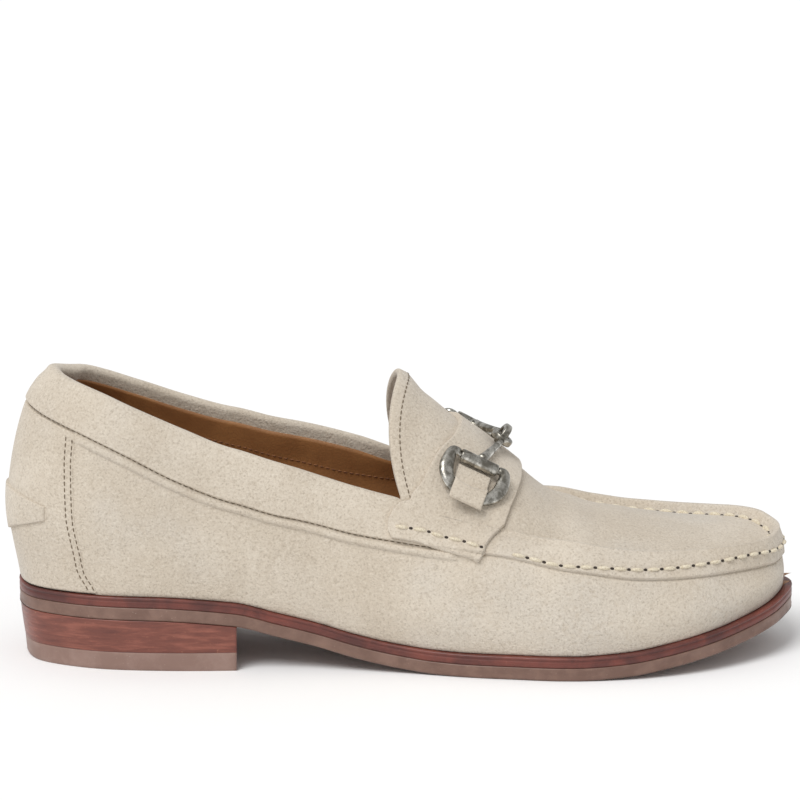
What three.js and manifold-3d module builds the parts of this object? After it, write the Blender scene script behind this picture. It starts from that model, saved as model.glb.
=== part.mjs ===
// Suede slip-on loafer with a metal bit, right shoe
// Millimetres, +Z up, +X towards the toe, -Y the outer side of the foot

import * as THREE from "three";
import { mergeVertices } from "three/addons/utils/BufferGeometryUtils.js";
import Module from "manifold-3d";

const wasm = await Module();
wasm.setup();

// Sole sizes
const soleLength = 289;
const ballWidth = 100;
const heelWidth = 68;
const heelHeight = 19.7;
const toeSpring = 14;
const outsoleThickness = 4.9;
const weltThickness = 3.6;
const topLiftThickness = 7;
const heelLength = 81;
const heelTaper = 2.4;
const breastHollow = 1.6;
const edgeRound = 0.9;

// Upper sizes
const backOverhang = 4.8;
const collarHeight = 79;
const boxHeight = 36;
const tongueHeight = 94.5;
const collarSetIn = 16.6;
const seamSetIn = 8.7;
const apronSetBack = 5;
const lipSetBack = 3.8;
const bulgeSetBack = 3.2;
const backSetIn = 1.2;
const throatPlace = 0.4935;
const wallThickness = 2;
const rimThickness = 4.6;
const tongueEdgeThickness = 3;
const rimRound = 1.5;
const tongueHollow = 4;
const ridgeInset = 3.8;
const ridgeHeight = 3.4;

// Raised work on the wall
const bandProud = 0.5;
const lipProud = 0.9;
const cordProud = 0.9;
const cordWidth = 2.4;
const foldWidth = 0.7;

// Laid-on leather and fit
const fitGap = 0.3;
const counterThickness = 1;
const counterReach = 24;
const tabThickness = 0.9;
const strapThickness = 1.5;
const strapGap = 0.6;
const keeperThickness = 1.2;
const insoleThickness = 3;
const insoleClearance = 0.4;
const tabReach = 14;
const flapShare = 0.1;

// Back tab: its edges as shares of the collar height, at the back and at its ends
const tabTop = 0.455;
const tabEndTop = 0.4;
const tabBottom = 0.225;
const tabEndBottom = 0.335;

// Bit sizes
const barrelLength = 15;
const barrelRadius = 2.4;
const barrelGap = 0.8;
const pinRadius = 1;
const ringHalfWidth = 2.1;
const ringHalfThickness = 1.3;
const ringDepth = 14.8;
const ringSpread = 11.2;
const hornRise = 0.4;
const barRadius = 1.9;
const eyeRadius = 3.1;
const eyeRodRadius = 1;

// Keeper tabs over the rings
const keeperWidth = 14.6;
const keeperEnd = 1.4;

// Places of the bit on the strap: across from its sewn edge, along from its back edge
const barrelAcross = 0.585;
const barrelAlong = 0.42;
const eyeAlong = 0.56;

// Outline of the sole: half widths as shares of the local width
const soleRows = [
  { along: 0, outer: 0, inner: 0 },
  { along: 0.017, outer: 0.25, inner: 0.25 },
  { along: 0.052, outer: 0.368, inner: 0.368 },
  { along: 0.103, outer: 0.456, inner: 0.456 },
  { along: 0.19, outer: 0.5, inner: 0.5 },
  { along: 0.293, outer: 0.493, inner: 0.471 },
  { along: 0.397, outer: 0.46, inner: 0.387 },
  { along: 0.5, outer: 0.434, inner: 0.345 },
  { along: 0.603, outer: 0.461, inner: 0.401 },
  { along: 0.69, outer: 0.5, inner: 0.475 },
  { along: 0.759, outer: 0.495, inner: 0.505 },
  { along: 0.828, outer: 0.455, inner: 0.495 },
  { along: 0.886, outer: 0.385, inner: 0.44 },
  { along: 0.934, outer: 0.29, inner: 0.36 },
  { along: 0.969, outer: 0.19, inner: 0.25 },
  { along: 0.99, outer: 0.08, inner: 0.15 },
  { along: 1, outer: -0.046, inner: 0.046 },
];

// Underside of the outsole: shares of the heel height and of the toe spring
const undersideRows = [
  { along: 0, heel: 1, spring: 0 },
  { along: 0.17, heel: 0.98, spring: 0 },
  { along: 0.276, heel: 0.86, spring: 0 },
  { along: 0.331, heel: 0.65, spring: 0 },
  { along: 0.383, heel: 0.46, spring: 0 },
  { along: 0.431, heel: 0.26, spring: 0 },
  { along: 0.48, heel: 0.11, spring: 0 },
  { along: 0.531, heel: 0.02, spring: 0 },
  { along: 0.572, heel: 0, spring: 0 },
  { along: 0.707, heel: 0, spring: 0 },
  { along: 0.776, heel: 0, spring: 0.08 },
  { along: 0.828, heel: 0, spring: 0.23 },
  { along: 0.886, heel: 0, spring: 0.44 },
  { along: 0.934, heel: 0, spring: 0.66 },
  { along: 0.969, heel: 0, spring: 0.84 },
  { along: 1, heel: 0, spring: 1 },
];

// How far the welt stands out past the upper, in millimetres
const marginRows = [
  { along: 0, margin: 0.6 },
  { along: 0.15, margin: 1.4 },
  { along: 0.6, margin: 2 },
  { along: 0.85, margin: 2.6 },
  { along: 1, margin: 3.4 },
];

// Fullest line of the side wall: widths as shares of the local width, rises of the local height
const bulgeRows = [
  { along: 0, outer: 0, inner: 0, rise: 0.39 },
  { along: 0.0206, outer: 0.243, inner: 0.243, rise: 0.385 },
  { along: 0.048, outer: 0.346, inner: 0.346, rise: 0.38 },
  { along: 0.0857, outer: 0.419, inner: 0.419, rise: 0.33 },
  { along: 0.137, outer: 0.47, inner: 0.47, rise: 0.27 },
  { along: 0.2056, outer: 0.493, inner: 0.493, rise: 0.22 },
  { along: 0.291, outer: 0.493, inner: 0.478, rise: 0.2 },
  { along: 0.36, outer: 0.483, inner: 0.443, rise: 0.18 },
  { along: 0.428, outer: 0.456, inner: 0.39, rise: 0.18 },
  { along: 0.507, outer: 0.444, inner: 0.371, rise: 0.22 },
  { along: 0.5826, outer: 0.45, inner: 0.394, rise: 0.25 },
  { along: 0.651, outer: 0.472, inner: 0.44, rise: 0.29 },
  { along: 0.709, outer: 0.487, inner: 0.473, rise: 0.31 },
  { along: 0.771, outer: 0.482, inner: 0.493, rise: 0.3 },
  { along: 0.84, outer: 0.438, inner: 0.48, rise: 0.27 },
  { along: 0.891, outer: 0.372, inner: 0.428, rise: 0.25 },
  { along: 0.932, outer: 0.3, inner: 0.365, rise: 0.22 },
  { along: 0.963, outer: 0.22, inner: 0.29, rise: 0.2 },
  { along: 0.9836, outer: 0.14, inner: 0.215, rise: 0.18 },
  { along: 0.994, outer: 0.065, inner: 0.145, rise: 0.17 },
  { along: 1, outer: -0.045, inner: 0.045, rise: 0.17 },
];

// Collar seam at the back, running on as the lower edge of the lip round the toe
const seamRows = [
  { along: 0, outer: 0, inner: 0, outerRise: 0.85, innerRise: 0.85 },
  { along: 0.022, outer: 0.22, inner: 0.22, outerRise: 0.815, innerRise: 0.82 },
  { along: 0.043, outer: 0.3, inner: 0.3, outerRise: 0.79, innerRise: 0.8 },
  { along: 0.078, outer: 0.375, inner: 0.375, outerRise: 0.743, innerRise: 0.76 },
  { along: 0.131, outer: 0.434, inner: 0.434, outerRise: 0.66, innerRise: 0.68 },
  { along: 0.198, outer: 0.46, inner: 0.46, outerRise: 0.547, innerRise: 0.572 },
  { along: 0.272, outer: 0.47, inner: 0.465, outerRise: 0.472, innerRise: 0.505 },
  { along: 0.343, outer: 0.468, inner: 0.457, outerRise: 0.468, innerRise: 0.51 },
  { along: 0.4136, outer: 0.44, inner: 0.407, outerRise: 0.5, innerRise: 0.55 },
  { along: 0.4947, outer: 0.416, inner: 0.377, outerRise: 0.611, innerRise: 0.67 },
  { along: 0.572, outer: 0.41, inner: 0.389, outerRise: 0.76, innerRise: 0.83 },
  { along: 0.643, outer: 0.425, inner: 0.42, outerRise: 0.88, innerRise: 0.945 },
  { along: 0.7135, outer: 0.443, inner: 0.445, outerRise: 0.85, innerRise: 0.905 },
  { along: 0.784, outer: 0.427, inner: 0.453, outerRise: 0.728, innerRise: 0.78 },
  { along: 0.837, outer: 0.392, inner: 0.435, outerRise: 0.64, innerRise: 0.685 },
  { along: 0.89, outer: 0.333, inner: 0.387, outerRise: 0.56, innerRise: 0.59 },
  { along: 0.932, outer: 0.255, inner: 0.32, outerRise: 0.48, innerRise: 0.5 },
  { along: 0.964, outer: 0.17, inner: 0.245, outerRise: 0.4, innerRise: 0.415 },
  { along: 0.985, outer: 0.09, inner: 0.17, outerRise: 0.34, innerRise: 0.35 },
  { along: 0.996, outer: 0.01, inner: 0.095, outerRise: 0.315, innerRise: 0.32 },
  { along: 1, outer: -0.044, inner: 0.044, outerRise: 0.305, innerRise: 0.305 },
];

// Topline at the back, running on as the raised edge of the apron
const topRows = [
  { along: 0, outer: 0, inner: 0, outerRise: 1, innerRise: 1 },
  { along: 0.02, outer: 0.176, inner: 0.176, outerRise: 0.972, innerRise: 0.972 },
  { along: 0.045, outer: 0.28, inner: 0.28, outerRise: 0.947, innerRise: 0.947 },
  { along: 0.071, outer: 0.338, inner: 0.338, outerRise: 0.917, innerRise: 0.913 },
  { along: 0.1185, outer: 0.394, inner: 0.394, outerRise: 0.85, innerRise: 0.85 },
  { along: 0.181, outer: 0.419, inner: 0.419, outerRise: 0.766, innerRise: 0.78 },
  { along: 0.243, outer: 0.431, inner: 0.431, outerRise: 0.7, innerRise: 0.737 },
  { along: 0.307, outer: 0.438, inner: 0.433, outerRise: 0.684, innerRise: 0.734 },
  { along: 0.37, outer: 0.4235, inner: 0.41, outerRise: 0.685, innerRise: 0.756 },
  { along: 0.433, outer: 0.39, inner: 0.375, outerRise: 0.745, innerRise: 0.824 },
  { along: 0.473, outer: 0.368, inner: 0.357, outerRise: 0.806, innerRise: 0.872 },
  { along: 0.532, outer: 0.35, inner: 0.35, outerRise: 0.896, innerRise: 0.968 },
  { along: 0.587, outer: 0.343, inner: 0.354, outerRise: 0.994, innerRise: 1.07 },
  { along: 0.6415, outer: 0.355, inner: 0.375, outerRise: 1.09, innerRise: 1.14 },
  { along: 0.6964, outer: 0.37, inner: 0.4, outerRise: 1.13, innerRise: 1.17 },
  { along: 0.751, outer: 0.374, inner: 0.412, outerRise: 1.045, innerRise: 1.07 },
  { along: 0.806, outer: 0.357, inner: 0.4, outerRise: 0.95, innerRise: 0.975 },
  { along: 0.861, outer: 0.32, inner: 0.365, outerRise: 0.865, innerRise: 0.895 },
  { along: 0.916, outer: 0.255, inner: 0.305, outerRise: 0.77, innerRise: 0.83 },
  { along: 0.9525, outer: 0.185, inner: 0.24, outerRise: 0.695, innerRise: 0.79 },
  { along: 0.978, outer: 0.115, inner: 0.175, outerRise: 0.645, innerRise: 0.74 },
  { along: 0.9927, outer: 0.045, inner: 0.115, outerRise: 0.625, innerRise: 0.675 },
  { along: 1, outer: -0.04, inner: 0.04, outerRise: 0.63, innerRise: 0.63 },
];

// Crest of the tongue and apron: rise as a share of the crest height, and how full its arch is
const crestRows = [
  { along: 0.493, rise: 1, fullness: 2.4 },
  { along: 0.524, rise: 0.93, fullness: 2.4 },
  { along: 0.566, rise: 0.904, fullness: 2.4 },
  { along: 0.603, rise: 0.932, fullness: 2.4 },
  { along: 0.641, rise: 0.99, fullness: 2.3 },
  { along: 0.679, rise: 1.045, fullness: 2.2 },
  { along: 0.724, rise: 1.17, fullness: 2.1 },
  { along: 0.769, rise: 1.12, fullness: 2 },
  { along: 0.81, rise: 1.02, fullness: 2 },
  { along: 0.852, rise: 0.911, fullness: 2 },
  { along: 0.897, rise: 0.792, fullness: 2 },
  { along: 0.931, rise: 0.7, fullness: 2 },
  { along: 1, rise: 0.5, fullness: 2 },
];

// Saddle strap, from its sewn edge up to the crest: its back and front edge along the sole
const strapRows = [
  { across: 0, back: 0.482, front: 0.602 },
  { across: 0.15, back: 0.479, front: 0.607 },
  { across: 0.3, back: 0.485, front: 0.614 },
  { across: 0.36, back: 0.5, front: 0.619 },
  { across: 0.44, back: 0.525, front: 0.625 },
  { across: 0.571, back: 0.542, front: 0.634 },
  { across: 0.776, back: 0.56, front: 0.642 },
  { across: 1, back: 0.565, front: 0.644 },
];

// Bow of the ring: places as shares of its half spread and of its depth
const bowRows = [
  { out: 0, down: 1 },
  { out: 0.31, down: 0.975 },
  { out: 0.68, down: 0.835 },
  { out: 0.95, down: 0.55 },
  { out: 1, down: 0.26 },
];

const clamp = (t) => Math.min(1, Math.max(0, t));
const mix = (a, b, t) => a + (b - a) * t;
const ease = (from, to, x) => {
  const t = clamp((x - from) / (to - from));
  return t * t * (3 - 2 * t);
};

// A value between two knots, with the slopes given at both
function hermite(a, b, slopeA, slopeB, step, t) {
  const t2 = t * t;
  const t3 = t2 * t;
  return (
    a * (2 * t3 - 3 * t2 + 1) +
    b * (3 * t2 - 2 * t3) +
    step * (slopeA * (t3 - 2 * t2 + t) + slopeB * (t3 - t2))
  );
}

// A column of a table as a curve that never overshoots its rows
function columnCurve(rows, name, key = "along") {
  const x = rows.map((row) => row[key]);
  const y = rows.map((row) => row[name]);
  const secant = (i) => (y[i + 1] - y[i]) / (x[i + 1] - x[i]);
  const slope = (i) => {
    if (i === 0 || i === x.length - 1) return 0;
    const before = secant(i - 1);
    const after = secant(i);
    return before * after <= 0 ? 0 : (2 * before * after) / (before + after);
  };
  return (at) => {
    const inside = Math.min(x[x.length - 1], Math.max(x[0], at));
    let i = 0;
    while (i < x.length - 2 && inside > x[i + 1]) i += 1;
    const step = x[i + 1] - x[i];
    return hermite(y[i], y[i + 1], slope(i), slope(i + 1), step, (inside - x[i]) / step);
  };
}

const angleOf = (along) => Math.acos(1 - 2 * clamp(along));
const alongOf = (angle) => (1 - Math.cos(angle)) / 2;

// Two columns as one smooth closed curve round the shoe, outer side first
function ringCurve(rows, outerName, innerName, outerSign) {
  const inner = rows.slice(1, -1).reverse();
  const knots = [
    ...rows.map((row) => [angleOf(row.along), outerSign * row[outerName]]),
    ...inner.map((row) => [2 * Math.PI - angleOf(row.along), row[innerName]]),
  ];
  const count = knots.length;
  const turn = 2 * Math.PI;
  const knot = (i) => {
    const wrapped = ((i % count) + count) % count;
    return [knots[wrapped][0] + turn * Math.floor(i / count), knots[wrapped][1]];
  };
  const slope = (i) => {
    const [a, b, c] = [knot(i - 1), knot(i), knot(i + 1)];
    const before = (b[1] - a[1]) / (b[0] - a[0]);
    const after = (c[1] - b[1]) / (c[0] - b[0]);
    const weight = (b[0] - a[0]) / (c[0] - a[0]);
    return mix(before, after, weight);
  };
  return (angle) => {
    const at = angle - turn * Math.floor(angle / turn);
    let i = 0;
    while (i < count - 1 && at > knots[i + 1][0]) i += 1;
    const [a, b] = [knot(i), knot(i + 1)];
    const step = b[0] - a[0];
    return hermite(a[1], b[1], slope(i), slope(i + 1), step, (at - a[0]) / step);
  };
}

// Sizes that change along the sole
const placeOf = (x) => (x - backOverhang) / soleLength;
const xOf = (place) => backOverhang + soleLength * place;
const localWidth = (x) => mix(heelWidth, ballWidth, ease(0.3, 0.62, placeOf(x)));
const localHeight = (x) => mix(collarHeight, boxHeight, ease(0.35, 0.7, placeOf(x)));
const crestHeight = (x) => mix(tongueHeight, boxHeight, ease(0.5, 0.75, placeOf(x)));

const undersideHeel = columnCurve(undersideRows, "heel");
const undersideSpring = columnCurve(undersideRows, "spring");
const underside = (x) =>
  heelHeight * undersideHeel(placeOf(x)) + toeSpring * undersideSpring(placeOf(x));
const weltTop = (x) => underside(x) + outsoleThickness + fitGap + weltThickness;
const seat = (x) => weltTop(x) + fitGap;

const soleWidth = ringCurve(soleRows, "outer", "inner", -1);
const soleEdge = (angle, inset = 0) => {
  const at = (a) => {
    const x = xOf(alongOf(a));
    return new THREE.Vector2(x, localWidth(x) * soleWidth(a));
  };
  const step = 1e-3;
  const run = at(angle + step).sub(at(angle - step)).normalize();
  return at(angle).addScaledVector(new THREE.Vector2(-run.y, run.x), inset);
};

// Four lines round the upper, from the welt to the top
const marginCurve = columnCurve(marginRows, "margin");
function featherPoint(angle) {
  const edge = soleEdge(angle, marginCurve(alongOf(angle)));
  return new THREE.Vector3(edge.x, edge.y, seat(edge.x));
}

function tableRing(rows, from, to, outerRise, innerRise) {
  const width = ringCurve(rows, "outer", "inner", -1);
  const rise = ringCurve(rows, outerRise, innerRise, 1);
  return (angle) => {
    const x = mix(from, to, alongOf(angle));
    const z = seat(x) + localHeight(x) * rise(angle);
    return new THREE.Vector3(x, localWidth(x) * width(angle), z);
  };
}

const soleEnd = xOf(1);
const topStart = collarSetIn;
const topEnd = soleEnd - apronSetBack;
const bulgePoint = tableRing(bulgeRows, backSetIn, soleEnd - bulgeSetBack, "rise", "rise");
const seamPoint = tableRing(
  seamRows, seamSetIn, soleEnd - lipSetBack, "outerRise", "innerRise",
);
const topPoint = tableRing(topRows, topStart, topEnd, "outerRise", "innerRise");

// The side wall: level 0 at the welt, 1 at its fullest, 2 at the seam, 3 at the top
function wallPoint(angle, level) {
  const line = [featherPoint, bulgePoint, seamPoint, topPoint].map((ring) => ring(angle));
  return new THREE.CatmullRomCurve3(line, false, "centripetal").getPoint(level / 3);
}

// The raised edge fades out under the strap, where the wall runs on into the tongue
const ridgeShare = (x) => ease(0.59, 0.7, placeOf(x));

// Foot of the raised edge, on the apron's side
function shoulderPoint(angle) {
  const top = topPoint(angle);
  const share = ridgeShare(top.x);
  const inset = mix(0.8, ridgeInset, share);
  const drop = mix(-2.5, ridgeHeight, share);
  const middle = (topStart + topEnd) / 2;
  const half = (topEnd - topStart) / 2;
  const along = (top.x - middle) / half;
  const x = top.x - inset * ease(0.75, 1, along);
  const sideways = inset * Math.min(1, Math.abs(Math.sin(angle)) * 1.6);
  return new THREE.Vector3(x, top.y - Math.sign(top.y) * sideways, top.z - drop);
}

const crestRise = columnCurve(crestRows, "rise");
const crestFullness = columnCurve(crestRows, "fullness");

// Tongue and apron: across runs from -1 at the outer foot of the ridge to 1 at the inner one
function apronPoint(angle, across) {
  const outer = shoulderPoint(angle);
  const inner = shoulderPoint(2 * Math.PI - angle);
  const x = (outer.x + inner.x) / 2;
  const share = (across + 1) / 2;
  const place = placeOf(x);
  const crest = seat(x) + crestHeight(x) * crestRise(place);
  const arch = 1 - Math.abs(across) ** crestFullness(place);
  const base = mix(outer.z, inner.z, share);
  const lift = Math.max(0, crest - (outer.z + inner.z) / 2);
  const hollow = tongueHollow * (1 - ease(throatPlace, throatPlace + 0.1, place));
  const side = 4 * across * across * (1 - across * across);
  return new THREE.Vector3(
    x - hollow * side,
    mix(outer.y, inner.y, share),
    base + lift * arch,
  );
}

// A point of the upper's skin: lane 0 is the outer welt line, 3 the outer top,
// 4 to 6 the tongue and apron, 7 the inner top and 10 the inner welt line
function skinPoint(angle, lane) {
  if (lane <= 3) return wallPoint(angle, lane);
  if (lane >= 7) return wallPoint(2 * Math.PI - angle, 10 - lane);
  if (lane < 4) {
    return topPoint(angle).lerp(apronPoint(angle, -1), lane - 3);
  }
  if (lane > 6) {
    return apronPoint(angle, 1).lerp(topPoint(2 * Math.PI - angle), lane - 6);
  }
  return apronPoint(angle, lane - 5);
}

// The way out of the skin at a point
function skinNormal(angle, lane) {
  const step = 0.02;
  const open = angle < throatAngle;
  const low = Math.max(open && lane >= 7 ? 7 : 0, lane - step);
  const high = Math.min(open && lane <= 3 ? 3 : 10, lane + step);
  const onAngle = skinPoint(Math.min(Math.PI - 1e-4, angle + step), lane).sub(
    skinPoint(Math.max(1e-4, angle - step), lane),
  );
  const onLane = skinPoint(angle, high).sub(skinPoint(angle, low));
  const out = onAngle.cross(onLane);
  if (lane === 0 || lane === 10) out.z = 0;
  return out.normalize();
}

const throatAngle = angleOf((xOf(throatPlace) - topStart) / (topEnd - topStart));
const breastAngle = angleOf(heelLength / soleLength);

// A closed solid put together from corners and faces
class Body {
  constructor() {
    this.corners = [];
    this.faces = [];
  }
  corner(point) {
    this.corners.push(point.x, point.y, point.z);
    return this.corners.length / 3 - 1;
  }
  row(points) {
    return points.map((point) => this.corner(point));
  }
  face(a, b, c) {
    if (a !== b && b !== c && a !== c) this.faces.push(a, b, c);
  }
  quad(a, b, c, d) {
    this.face(a, b, c);
    this.face(a, c, d);
  }
  strip(low, high, closed = false) {
    const count = low.length - (closed ? 0 : 1);
    for (let i = 0; i < count; i += 1) {
      const next = (i + 1) % low.length;
      this.quad(low[i], low[next], high[next], high[i]);
    }
  }
  geometry() {
    const v = (i) => new THREE.Vector3().fromArray(this.corners, 3 * i);
    let volume = 0;
    for (let i = 0; i < this.faces.length; i += 3) {
      const [a, b, c] = this.faces.slice(i, i + 3).map(v);
      volume += a.dot(b.cross(c));
    }
    const order = volume < 0 ? this.faces.slice().reverse() : this.faces;
    const made = new THREE.BufferGeometry();
    made.setAttribute("position", new THREE.Float32BufferAttribute(this.corners, 3));
    made.setIndex(order);
    made.computeVertexNormals();
    return made;
  }
}

// Angles shared by every piece that follows the length of the shoe
function spread(from, to, count) {
  return Array.from({ length: count + 1 }, (_, i) => mix(from, to, i / count));
}

const seamAngle = (x) => angleOf((x - seamSetIn) / (soleEnd - lipSetBack - seamSetIn));
const counterAngle = seamAngle(counterReach);
const besideCounter = seamAngle(counterReach + fitGap);
const pastCounter = seamAngle(counterReach + 2 * fitGap + counterThickness);
const heelAngles = [
  ...spread(0, counterAngle, 6),
  besideCounter,
  ...spread(pastCounter, breastAngle, 7),
];
const backAngles = [...heelAngles, ...spread(breastAngle, throatAngle, 8).slice(1)];
const frontAngles = spread(throatAngle, Math.PI, 22).slice(1);
const halfAngles = [...backAngles, ...frontAngles];

// A plate with the outline of the sole: each layer has an inset and a height along the shoe
function solePlate(angles, layers, nose = 0) {
  const body = new Body();
  const full = angles[angles.length - 1] > Math.PI - 1e-6;
  const grids = layers.map(({ inset, height }) =>
    angles.map((angle, i) => {
      const outer = soleEdge(angle, inset(angle));
      const inner = soleEdge(2 * Math.PI - angle, inset(angle));
      const last = i === angles.length - 1;
      const tip = i === 0 || (last && full);
      const middle = outer.clone().add(inner).multiplyScalar(0.5);
      if (last && !full) middle.x -= nose;
      const at = (p) => body.corner(new THREE.Vector3(p.x, p.y, height(p.x)));
      if (tip) {
        const only = at(outer);
        return [only, only, only];
      }
      return [at(outer), at(middle), at(inner)];
    }),
  );
  const cover = (grid, turned) => {
    for (let i = 0; i + 1 < grid.length; i += 1) {
      for (let k = 0; k < 2; k += 1) {
        const q = [grid[i][k], grid[i + 1][k], grid[i + 1][k + 1], grid[i][k + 1]];
        if (turned) q.reverse();
        body.quad(...q);
      }
    }
  };
  cover(grids[0], true);
  cover(grids[grids.length - 1], false);
  const loop = (grid) => {
    const outer = grid.map((rung) => rung[0]);
    const inner = grid.map((rung) => rung[2]).reverse();
    const end = grid[grid.length - 1];
    const front = full ? [] : [end[1]];
    return [...outer, ...front, ...inner.slice(full ? 1 : 0, -1)];
  };
  for (let i = 0; i + 1 < grids.length; i += 1) {
    body.strip(loop(grids[i]), loop(grids[i + 1]), true);
  }
  return body.geometry();
}

const level = (height) => () => height;
const same = (inset) => () => inset;

function outsole() {
  const top = (x) => underside(x) + outsoleThickness;
  return solePlate(halfAngles, [
    { inset: same(edgeRound), height: underside },
    { inset: same(0), height: (x) => underside(x) + edgeRound },
    { inset: same(0), height: (x) => top(x) - edgeRound / 2 },
    { inset: same(edgeRound / 3), height: top },
  ]);
}

function welt() {
  const bottom = (x) => underside(x) + outsoleThickness + fitGap;
  return solePlate(halfAngles, [
    { inset: same(edgeRound / 3), height: bottom },
    { inset: same(0), height: (x) => bottom(x) + edgeRound / 2 },
    { inset: same(0), height: (x) => weltTop(x) - edgeRound },
    { inset: same(edgeRound / 2), height: weltTop },
  ]);
}

// The heel narrows towards the ground, most at the back
const heelInset = (share) => (angle) =>
  share * heelTaper * mix(1, 0.4, ease(0, 0.35, alongOf(angle)));

function heelBlock() {
  const top = (x) => underside(x) - fitGap;
  const bottom = topLiftThickness + fitGap;
  return solePlate(
    heelAngles,
    [
      { inset: heelInset(0.75), height: level(bottom) },
      { inset: heelInset(0.12), height: top },
    ],
    breastHollow,
  );
}

function topLift() {
  return solePlate(
    heelAngles,
    [
      { inset: heelInset(1.25), height: level(0) },
      { inset: heelInset(1), height: level(edgeRound) },
      { inset: heelInset(0.75), height: level(topLiftThickness) },
    ],
    breastHollow,
  );
}

function insole() {
  const inset = (angle) =>
    marginCurve(alongOf(angle)) + wallThickness + counterThickness + insoleClearance;
  const bottom = (x) => weltTop(x) + fitGap;
  return solePlate(halfAngles, [
    { inset, height: bottom },
    { inset, height: (x) => bottom(x) + insoleThickness },
  ]);
}

// Where the raised work of the wall starts and stops
const inCollar = (x) => 1 - ease(0.5, 0.56, placeOf(x));
const inApron = (x) => ease(0.55, 0.63, placeOf(x));
const corded = (x) => ease(0.065, 0.1, placeOf(x)) * (1 - ease(0.54, 0.57, placeOf(x)));

// A wall level a short way above or below the seam, in millimetres
function nearSeam(angle, distance) {
  const step = 0.02;
  const rate =
    wallPoint(angle, 2 + step).distanceTo(wallPoint(angle, 2 - step)) / (2 * step);
  return 2 + distance / rate;
}

// A wall level at a share of the way from the seam to the top
const bandShares = [0.35, 0.7];
const bandLevel = (angle, share) => mix(nearSeam(angle, foldWidth), 3, share);

// The wall is set in where the heel counter lies on it
const counterDepth = (angle) => {
  const fromBack = Math.min(angle, 2 * Math.PI - angle);
  return fromBack < (besideCounter + pastCounter) / 2 ? counterThickness + fitGap : 0;
};

// Rows of the outer wall, from the welt to the top: a level and how far it stands out
function outerRows(angle) {
  const x = seamPoint(angle).x;
  const cord = cordProud * corded(x);
  const band = bandProud * inCollar(x) + lipProud * inApron(x);
  const back = -counterDepth(angle);
  const under = nearSeam(angle, -cordWidth - foldWidth);
  const flat = [0, 0.16, 0.33, 0.5, 0.67, 0.84, 1];
  return [
    ...flat.map((share) => ({ level: share * under, out: back })),
    { level: nearSeam(angle, -cordWidth), out: Math.max(cord, 0) },
    { level: nearSeam(angle, -foldWidth), out: Math.max(cord, 0) },
    { level: nearSeam(angle, 0), out: 0 },
    { level: nearSeam(angle, foldWidth), out: band },
    { level: bandLevel(angle, bandShares[0]), out: band * 1.2 },
    { level: bandLevel(angle, bandShares[1]), out: band * 0.8 },
    { level: 3, out: 0 },
  ];
}

// Rows of the inner wall: a level and how far inside the skin it lies
function innerRows(angle) {
  const x = topPoint(angle).x;
  const collar = 1 - ease(throatPlace - 0.03, throatPlace + 0.03, placeOf(x));
  const pad = collar * (rimThickness - wallThickness);
  const deep = counterDepth(angle);
  const sunk = ridgeHeight * ridgeShare(x);
  return [
    { level: 0, in: wallThickness + deep, down: 0 },
    { level: 0.35, in: wallThickness + deep, down: 0 },
    { level: 0.8, in: wallThickness + deep, down: 0 },
    { level: 1.3, in: wallThickness + deep, down: 0 },
    { level: 1.8, in: wallThickness + deep * 0.6, down: 0 },
    { level: 2.35, in: wallThickness + pad * 0.25, down: 0 },
    { level: 2.75, in: wallThickness + pad * 0.75, down: 0 },
    { level: 3, in: wallThickness + pad, down: sunk },
  ];
}

// Lanes across the tongue and apron, between the tops of both walls
const apronLanes = [3.45, 3.8, 4, 4.15, 4.35, 4.6, 4.85, 5.15, 5.4, 5.65, 5.85, 6, 6.2, 6.55];

// The rounded crest of the ridge: how far it stands above the slope behind it
const crestKnots = [[0, 0], [0.45, 0.35], [0.8, 0.15], [1, 0]];
function crestLift(fromEdge) {
  const i = crestKnots.findIndex(([at]) => at >= Math.min(1, fromEdge));
  if (i < 1) return 0;
  const [[a, low], [b, high]] = [crestKnots[i - 1], crestKnots[i]];
  return mix(low, high, (Math.min(1, fromEdge) - a) / (b - a));
}
function apronOut(lane, x) {
  return crestLift(Math.min(lane - 3, 7 - lane)) * ridgeHeight * ridgeShare(x);
}

// The outside as made, with its raised work: every laid-on piece follows it
function surfacePoint(angle, lane) {
  const point = skinPoint(angle, lane);
  if (lane > 3 && lane < 7) {
    point.z += apronOut(lane, point.x);
    return point;
  }
  const on = lane <= 3 ? angle : 2 * Math.PI - angle;
  const height = lane <= 3 ? lane : 10 - lane;
  const rows = outerRows(on);
  const i = Math.max(1, rows.findIndex((row) => row.level >= height - 1e-6));
  const [low, high] = [rows[i - 1], rows[i]];
  const out = mix(low.out, high.out, (height - low.level) / (high.level - low.level));
  return point.addScaledVector(skinNormal(angle, lane), out);
}

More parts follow.
